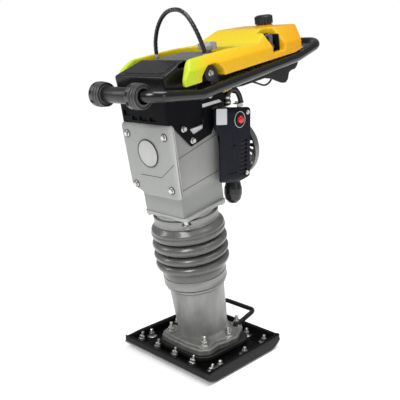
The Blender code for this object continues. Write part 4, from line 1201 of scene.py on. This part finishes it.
def build_cowl():
    half, low, high = 0.0985, 0.5, 0.7085
    skin = rounded(rectangle(-half, low, half, high), 0.02, 7)
    bm = shape(add_prism, skin, -0.09, 0.088, ALONG["b"])
    front_gap = shape(add_box, (-0.0905, -0.2, 0.4), (0.0905, -0.03, 0.8))
    inner = shape(
        add_prism,
        rounded(rectangle(-half + 0.0038, low + 0.0038, half - 0.0038, high - 0.0038), 0.0165, 7),
        -0.2, 0.2, ALONG["b"],
    )
    outline = [
        (-0.06, 0.706), (-0.06, 0.656), (-0.04, 0.63), (-0.036, 0.512), (0.043, 0.499),
        (0.0835, 0.5155), (0.0815, 0.701),
    ]
    trim = shape(add_slab, rounded(outline, 0.006, 4), -0.2, 0.2)
    cuts = [inner, front_gap]
    window = shape(add_prism, rounded(rectangle(-0.064, -0.1, 0.074, 0.064), 0.01, 4), 0.69, 0.74)
    notch = shape(add_box, (-0.083, -0.2, 0.49), (0.083, 0.012, 0.531))
    bulb = at(0.0985, 0.037, 0.671) @ about("Y", 90)
    bulb_hole = shape(add_rod, 0.0108, -0.03, 0.03, bulb, 36)
    cuts += [window, notch]
    for sign in (-1, 1):
        for k in range(9):
            z = 0.5235 + 0.0112 * k
            cuts.append(
                shape(
                    add_slab,
                    rounded(
                        [(0.0395, z), (0.07, z - 0.001), (0.07, z + 0.0042), (0.0395, z + 0.0052)],
                        0.0015, 3,
                    ),
                    0.07, 0.12, sign,
                ),
            )
        for y0, y1, z in ((0.002, 0.021, 0.603), (-0.011, 0.028, 0.53)):
            cuts.append(
                shape(
                    add_slab, [(y0, z), (y1, z - 0.001), (y1, z + 0.0022), (y0, z + 0.0032)], 0.07,
                    0.12, sign,
                ),
            )
    obj = to_object("engine_shroud", bm)
    boolean(obj, trim, "INTERSECT")
    seat = shape(
        add_turned, [(0, -0.0105), (0.0166, -0.0105), (0.0166, 0.001, 0.001), (0, 0.001)], bulb, 56,
        3,
    )
    boolean(obj, seat, "UNION")
    for other in (*cuts, bulb_hole):
        boolean(obj, other, "DIFFERENCE")
    soften(obj, 0.0011, 2)
    finish_piece(obj, COWL_NAVY, "machine", "engine_cowl")

    ring = [
        (0.0196, 0.0004), (0.0218, 0.0004, 0.0004), (0.0218, 0.0016, 0.0005),
        (0.0196, 0.0016, 0.0005),
    ]
    bm = shape(add_turned, ring, bulb, 96, 3, closed=True)
    piece("bulb_trim", bm, STEEL, place=WORLD)
    bm = new()
    for sign in (-1, 1):
        for y, z in ((0.072, 0.525), (0.07, 0.688)):
            add_screw_head(bm, at(sign * 0.0982, y, z) @ about("Y", sign * 90), 0.0062, 0.0042)
    piece("shroud_screws", bm, STEEL, place=WORLD)
    bm = new()
    for sign in (-1, 1):
        add_slab(
            bm, rounded(rectangle(-0.015, 0.518, 0.076, 0.625), 0.004, 3), 0.0915, 0.0945, sign
        )
    piece("louvre_backs", bm, CAP_BLACK, bevel=0.0005, segments=2, place=WORLD)
    bm = shape(
        add_slab,
        rounded([(-0.054, 0.663), (-0.0135, 0.661), (-0.0145, 0.702), (-0.0545, 0.703)], 0.002, 3),
        0.0984, 0.099,
    )
    piece("wing_plate", bm, LABEL, place=WORLD)

    dome = [
        (0, 0.0112), (0.006, 0.0104, 0.004), (0.01, 0.0062, 0.004), (0.0104, 0, 0.001),
        (0.0104, -0.008), (0, -0.008),
    ]
    bm = shape(add_turned, dome, bulb, 48, 6)
    piece("primer_dome", bm, RED, "primer_bulb", "primer", place=WORLD, sharp=60)


def build_starter():
    backward = about("X", -90)
    seat = at(0, 0.215, ENGINE_S) @ backward
    outer = [
        (0, 0.0382), (0.018, 0.0382, 0.001), (0.021, 0.0368, 0.001), (0.06, 0.0364, 0.01),
        (0.076, 0.03, 0.01), (0.0848, 0.018, 0.008), (0.0868, 0.003, 0.002), (0.0868, 0),
    ]
    inner = [
        (0.0828, 0), (0.0828, 0.003, 0.002), (0.08, 0.016, 0.004), (0.072, 0.026, 0.004),
        (0.058, 0.0322, 0.003), (0, 0.0336),
    ]
    bm = shape(add_turned, outer + inner, seat, 128, 4)
    guide = shape(add_rod, 0.0042, -0.02, 0.08, at(-0.045, 0.215, ENGINE_S) @ backward, 24)
    cuts = [guide]
    for k in range(16):
        if k in (6, 7, 8, 9):  # the rope comes out here
            continue
        turn = seat @ around(k + 0.5, 16)
        cuts.append(
            shape(
                add_prism,
                rounded(
                    [(0.025, -0.0024), (0.052, -0.0046), (0.052, 0.0046), (0.025, 0.0024)], 0.0022,
                    4,
                ),
                0, 0.08, turn,
            ),
        )
    piece("recoil_cover", bm, ALLOY, "starter_housing", cuts=cuts, bevel=0.0009, segments=2)
    bm = new()
    for k in range(48):
        fin = [
            (0.068, 0.032), (0.08, 0.022), (0.085, 0.006), (0.0868, 0.005), (0.0862, 0.013),
            (0.0812, 0.024), (0.0735, 0.032), (0.068, 0.0346),
        ]
        add_prism(bm, fin, -0.0006, 0.0006, seat @ around(k, 48) @ ALONG["b"])
    piece("recoil_fins", bm, ALLOY, sharp=40)
    bm = new()
    for angle in (45, 135, 225, 315):
        add_screw_head(bm, seat @ about("Z", angle) @ at(0.0725, 0, 0.0235), 0.0052, 0.007)
    piece("recoil_screws", bm, STEEL)

    pulley = [
        (0.0062, -0.005), (0.036, -0.005, 0.0006), (0.036, -0.003, 0.0006), (0.03, -0.0022, 0.001),
        (0.03, 0.0022, 0.001), (0.036, 0.003, 0.0006), (0.036, 0.005, 0.0006), (0.0062, 0.005),
    ]
    bm = shape(add_turned, pulley, at(0, 0.229, ENGINE_S) @ backward, 72, 3, closed=True)
    piece("rope_pulley_disc", bm, CAP_BLACK, "starter_pulley", "rope_pulley")

    grip_x = -0.045
    bm = shape(
        add_prism, rounded(rectangle(grip_x - 0.04, 0.262, grip_x + 0.04, 0.282), 0.009, 6),
        ENGINE_S - 0.01, ENGINE_S + 0.01,
    )
    waists = []
    for sign in (-1, 1):
        waists.append(
            shape(add_rod, 0.02, -0.03, 0.03, at(grip_x + sign * 0.02, 0.299, ENGINE_S), 48)
        )
    piece(
        "pull_grip", bm, CAP_BLACK, "starter_grip", "rope_grip", cuts=waists, bevel=0.0042,
        segments=4,
    )

    start, end = (grip_x, 0.2395, ENGINE_S), (grip_x, 0.2622, ENGINE_S)
    line = [Vector(start).lerp(Vector(end), k / 48) for k in range(49)]
    bm = shape(add_tube, line, 0.0025, 18, twist=laid(0.0023, 0.0002, 0.008))
    rope = piece("pull_rope", bm, ROPE, "starter_rope", None, sharp=80)
    leg_point(grip_x, 0.241, ENGINE_S)
    leg_point(grip_x, 0.2612, ENGINE_S)
    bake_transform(rope)


def build_engine():
    bore_b = 0.146
    bm = shape(add_prism, rounded(rectangle(-0.046, 0.118, 0.046, 0.1875), 0.012, 5), 0.507, 0.598)
    barrel = shape(add_rod, 0.03, 0.59, 0.697, at(0, bore_b, 0), 56)
    shaft = shape(add_rod, 0.0088, -0.2, 0.2, at(0, 0.15, ENGINE_S) @ about("X", 90), 32)
    fins = []
    for k in range(8):
        s = 0.609 + 0.0108 * k
        reach = 0.05 if k > 1 else 0.047
        fins.append(
            shape(
                add_prism,
                rounded(rectangle(-reach, bore_b - 0.036, reach, bore_b + 0.036), 0.01, 5), s,
                s + 0.0024,
            ),
        )
    head = shape(
        add_prism, rounded(rectangle(-0.034, bore_b - 0.03, 0.034, bore_b + 0.03), 0.008, 4), 0.687,
        0.6975,
    )
    piece(
        "engine_casting", bm, ALLOY, "engine_block", joins=(barrel, *fins, head), cuts=(shaft,),
        bevel=0.0008, segments=2,
    )

    plug = [
        (0, 0.7265), (0.0035, 0.7265), (0.004, 0.713), (0.0046, 0.712), (0.0046, 0.711), (0, 0.711)
    ]
    bm = shape(add_lathe, plug, at(0, bore_b, 0), 28)
    add_hex(bm, 0.016, 0.009, at(0, bore_b, 0.702))
    add_rod(bm, 0.007, 0.698, 0.7025, at(0, bore_b, 0), 24)
    piece("ignition_plug", bm, STEEL, "spark_plug")

    boot = [
        (0.0042, 0.729), (0.0052, 0.7135), (0.0092, 0.7135, 0.001), (0.0096, 0.72, 0.002),
        (0.0102, 0.7345, 0.003), (0.008, 0.7405, 0.002), (0, 0.7408), (0, 0.729),
    ]
    bm = shape(add_turned, boot, at(0, bore_b, 0), 40, 4, closed=True)
    elbow = shape(
        add_turned, [(0, 0), (0.0058, 0, 0.001), (0.0054, 0.012, 0.002), (0, 0.0122)],
        facing((0.004, bore_b, 0.734), (1.0, 0.1, 0.18)), 28, 4,
    )
    piece("plug_cap", bm, RUBBER, "plug_boot", joins=(elbow,), bevel=0.0006, segments=2)

    lead = [
        (0.014, bore_b, 0.7355), (0.024, bore_b + 0.002, 0.737), (0.042, bore_b + 0.016, 0.74),
        (0.056, bore_b + 0.034, 0.733), (0.064, bore_b + 0.048, 0.712),
        (0.068, bore_b + 0.052, 0.685),
    ]
    bm = shape(add_tube, spline(lead, 10), 0.007, 24)
    piece("plug_lead", bm, ROPE, "ignition_lead", sharp=80)

    elbow = [
        (0.052, 0.16, 0.69), (0.051, 0.16, 0.706), (0.052, 0.165, 0.72), (0.054, 0.176, 0.727),
        (0.058, 0.19, 0.722),
    ]
    bm = shape(add_tube, spline(elbow, 8), 0.0098, 28)
    piece("breather_elbow", bm, ROPE, sharp=80)
    bm = new()
    ring = [(0.0096, -0.003), (0.0112, -0.003, 0.0006), (0.0112, 0.003, 0.0006), (0.0096, 0.003)]
    for place in (at(0.0515, 0.16, 0.696), at(0.0512, 0.1606, 0.709)):
        add_turned(bm, ring, place, 40, 3, closed=True)
    add_box(bm, (0.06, 0.172, 0.688), (0.076, 0.195, 0.6896))
    add_box(bm, (0.0744, 0.172, 0.678), (0.076, 0.195, 0.6896))
    add_screw_head(bm, at(0.067, 0.18, 0.6894), 0.0052, 0.0048)
    piece("elbow_clips", bm, STEEL)

    bm = shape(add_prism, rounded(rectangle(-0.022, 0.074, 0.022, 0.102), 0.004, 4), 0.7155, 0.744)
    bowl = shape(
        add_turned, [(0, 0.702), (0.0136, 0.702, 0.002), (0.0136, 0.718), (0, 0.718)],
        at(0, 0.088, 0), 40, 4,
    )
    throat = shape(
        add_lathe, [(0, 0.725), (0.009, 0.725), (0.011, 0.746), (0, 0.746)], at(0, 0.088, 0), 36
    )
    piece(
        "carb_body", bm, ALLOY, "carburettor", joins=(bowl,), cuts=(throat,), bevel=0.001,
        segments=2,
    )

    bumper = [
        (0, 0), (0.016, 0, 0.001), (0.0188, -0.004, 0.002), (0.02, -0.016, 0.004),
        (0.0246, -0.033, 0.01), (0.025, -0.048, 0.01), (0.0215, -0.064, 0.008),
        (0.012, -0.0742, 0.006), (0, -0.0758),
    ]
    bm = shape(add_turned, bumper, at(0.062, 0.057, 0.5126), 72, 7)
    piece("bump_stop", bm, ROPE, "lower_bumper", place=WORLD, sharp=60)

    can = [
        (0, 0), (0.025, 0, 0.002), (0.026, -0.006, 0.001), (0.0252, -0.008, 0.001),
        (0.0252, -0.042, 0.001), (0.026, -0.044, 0.001), (0.025, -0.0518, 0.003), (0, -0.0518),
    ]
    bm = shape(add_turned, can, at(-0.05, 0.06, 0.5125), 64, 4)
    outlet = shape(add_rod, 0.008, -0.053, -0.045, at(-0.05, 0.06, 0.5125), 28)
    piece(
        "exhaust_can", bm, MACHINED, "muffler", cuts=(outlet,), bevel=0.0006, segments=2,
        place=WORLD,
    )


def add_line(name, look, cad, points, spans, radius, sides, near, far):
    """A hose or cable that runs between the machine and the handle."""
    bm = shape(add_tube, spline(points, spans), radius, sides)
    line = piece(name, bm, look, cad, None, sharp=80)
    leg_point(*near)
    leg_point(*far)
    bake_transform(line)


def build_hoses():
    hose = [
        (0.06, 0.245, 0.785), (0.062, 0.243, 0.77), (0.072, 0.225, 0.754), (0.084, 0.195, 0.749),
        (0.086, 0.15, 0.741), (0.076, 0.115, 0.734), (0.048, 0.092, 0.73), (0.034, 0.088, 0.73),
        (0.0226, 0.088, 0.73),
    ]
    near, far = (0.04, 0.09, 0.73), (0.062, 0.24, 0.765)
    add_line("fuel_pipe", AMBER, "fuel_hose", hose, 10, 0.0034, 20, near, far)

    cable = [
        (0.075, 0.318, 0.783), (0.078, 0.334, 0.76), (0.078, 0.326, 0.724), (0.077, 0.296, 0.712),
        (0.07, 0.258, 0.728), (0.048, 0.222, 0.743), (0.01, 0.192, 0.748), (-0.024, 0.165, 0.746),
        (-0.044, 0.128, 0.741), (-0.04, 0.1, 0.737), (-0.031, 0.096, 0.737),
        (-0.0226, 0.096, 0.737),
    ]
    near, far = (-0.03, 0.11, 0.74), (0.077, 0.3, 0.735)
    add_line("throttle_wire", ROPE, "throttle_cable", cable, 8, 0.0027, 16, near, far)


# ---------------------------------------------------------------- inside the leg


def coil_points(radius, wire, low, high):
    turns, per_turn = 4, 40
    count = turns * per_turn
    points = []
    for k in range(count + 1):
        angle = 2 * math.pi * k / per_turn
        height = low + wire + (high - low - 2 * wire) * k / count
        points.append((radius * math.cos(angle), radius * math.sin(angle), height))
    return points


def build_springs():
    """Coils that the ram's stroke stretches and squeezes."""
    for name, cad, radius, wire, low, high, start, end in (
        ("ram_spring_low", "lower_spring", 0.038, 0.0048, 0.077, 0.2235, 0.082, 0.218),
        ("ram_spring_high", "upper_spring", 0.034, 0.0043, 0.252, 0.3985, 0.257, 0.393),
    ):
        bm = shape(add_tube, coil_points(radius, wire, low, high), wire, 18)
        coil = piece(name, bm, MACHINED, cad, None, sharp=80)
        leg_point(0, 0, start)
        leg_point(0, 0, end)
        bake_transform(coil)


def finish_carried_nodes():
    """CAD nodes whose shape is right keep it and get these finishes."""
    kept = {
        "guide_cylinder": CASTING, "plunger": MACHINED, "crank_gear": MACHINED,
        "crank_bearing": STEEL, "connecting_rod": MACHINED, "drive_pinion": MACHINED,
        "pinion_bearing": STEEL, "engine_crankshaft": MACHINED, "cap_gasket": RUBBER,
        "filter_element": FOAM,
    }
    for name, look in kept.items():
        obj = NODES[name]
        obj.data.materials.clear()
        obj.data.materials.append(look["material"])


# ---------------------------------------------------------------- studio


def area_light(name, place, target, size, watts):
    data = bpy.data.lights.new(name, "AREA")
    data.shape, data.size, data.size_y = "RECTANGLE", *size
    data.energy = watts
    obj = bpy.data.objects.new(name, data)
    obj.matrix_world = facing(place, Vector(place) - Vector(target))
    bpy.context.scene.collection.objects.link(obj)


def sun_light(name, direction, spread, strength):
    """Light that falls evenly on the whole floor, with edges as soft as its spread in degrees."""
    data = bpy.data.lights.new(name, "SUN")
    data.energy, data.angle = strength, math.radians(spread)
    obj = bpy.data.objects.new(name, data)
    obj.matrix_world = facing(direction, direction)
    bpy.context.scene.collection.objects.link(obj)


def build_world():
    """A dim room that looks white behind the machine."""
    world = bpy.data.worlds.new("studio")
    world.use_nodes = True
    nodes, links = world.node_tree.nodes, world.node_tree.links
    room = nodes["Background"]
    room.inputs["Color"].default_value = (1.0, 1.0, 1.0, 1.0)
    room.inputs["Strength"].default_value = 0.3
    backdrop = nodes.new("ShaderNodeBackground")
    backdrop.inputs["Color"].default_value = (1.0, 1.0, 1.0, 1.0)
    backdrop.inputs["Strength"].default_value = 1.0
    path = nodes.new("ShaderNodeLightPath")
    mix = nodes.new("ShaderNodeMixShader")
    links.new(path.outputs["Is Camera Ray"], mix.inputs["Fac"])
    links.new(room.outputs["Background"], mix.inputs[1])
    links.new(backdrop.outputs["Background"], mix.inputs[2])
    links.new(mix.outputs["Shader"], nodes["World Output"].inputs["Surface"])
    bpy.context.scene.world = world


def build_studio():
    reach, cells, low = 14, 14, -0.0004  # a little under the sole, so that the two don't flicker
    floor = to_object(
        "studio_floor",
        shape(
            bmesh.ops.create_grid, x_segments=cells, y_segments=cells, size=reach,
            matrix=at(0, 0, low),
        ),
    )
    pale = surface("floor_pale", "", (0.93, 0.93, 0.93), 0.75, mottle=0.004, grain=0.0)
    glow = pale["material"].node_tree.nodes["Principled BSDF"]
    glow.inputs["Emission Color"].default_value = (1.0, 1.0, 1.0, 1.0)
    glow.inputs["Emission Strength"].default_value = 0.3
    floor.data.materials.append(pale["material"])

    build_world()
    middle = (0, 0, 0.5)
    sun_light("overhead", (0.3, 0.3, 2.0), 36.0, 1.7)
    area_light("key", (0.6, -1.74, 2.3), middle, (0.8, 1.2), 34)
    area_light("fill", (-1.6, -1.6, 1.75), middle, (0.35, 1.0), 9)
    area_light("side", (2.6, -0.2, 1.3), middle, (0.2, 1.6), 4)

    view = bpy.context.scene.view_settings
    view.view_transform, view.look = "Standard", "None"
    view.exposure, view.gamma = 0, 1.0


build_shoe()
build_foot()
build_bellows()
build_crankcase()
build_cover()
build_console()
build_hood()
build_lifting_loop()
build_handle()
build_shock_mounts()
build_tank()
build_cowl()
build_starter()
build_engine()
build_hoses()
build_springs()
finish_carried_nodes()
build_studio()

bpy.context.view_layer.update()
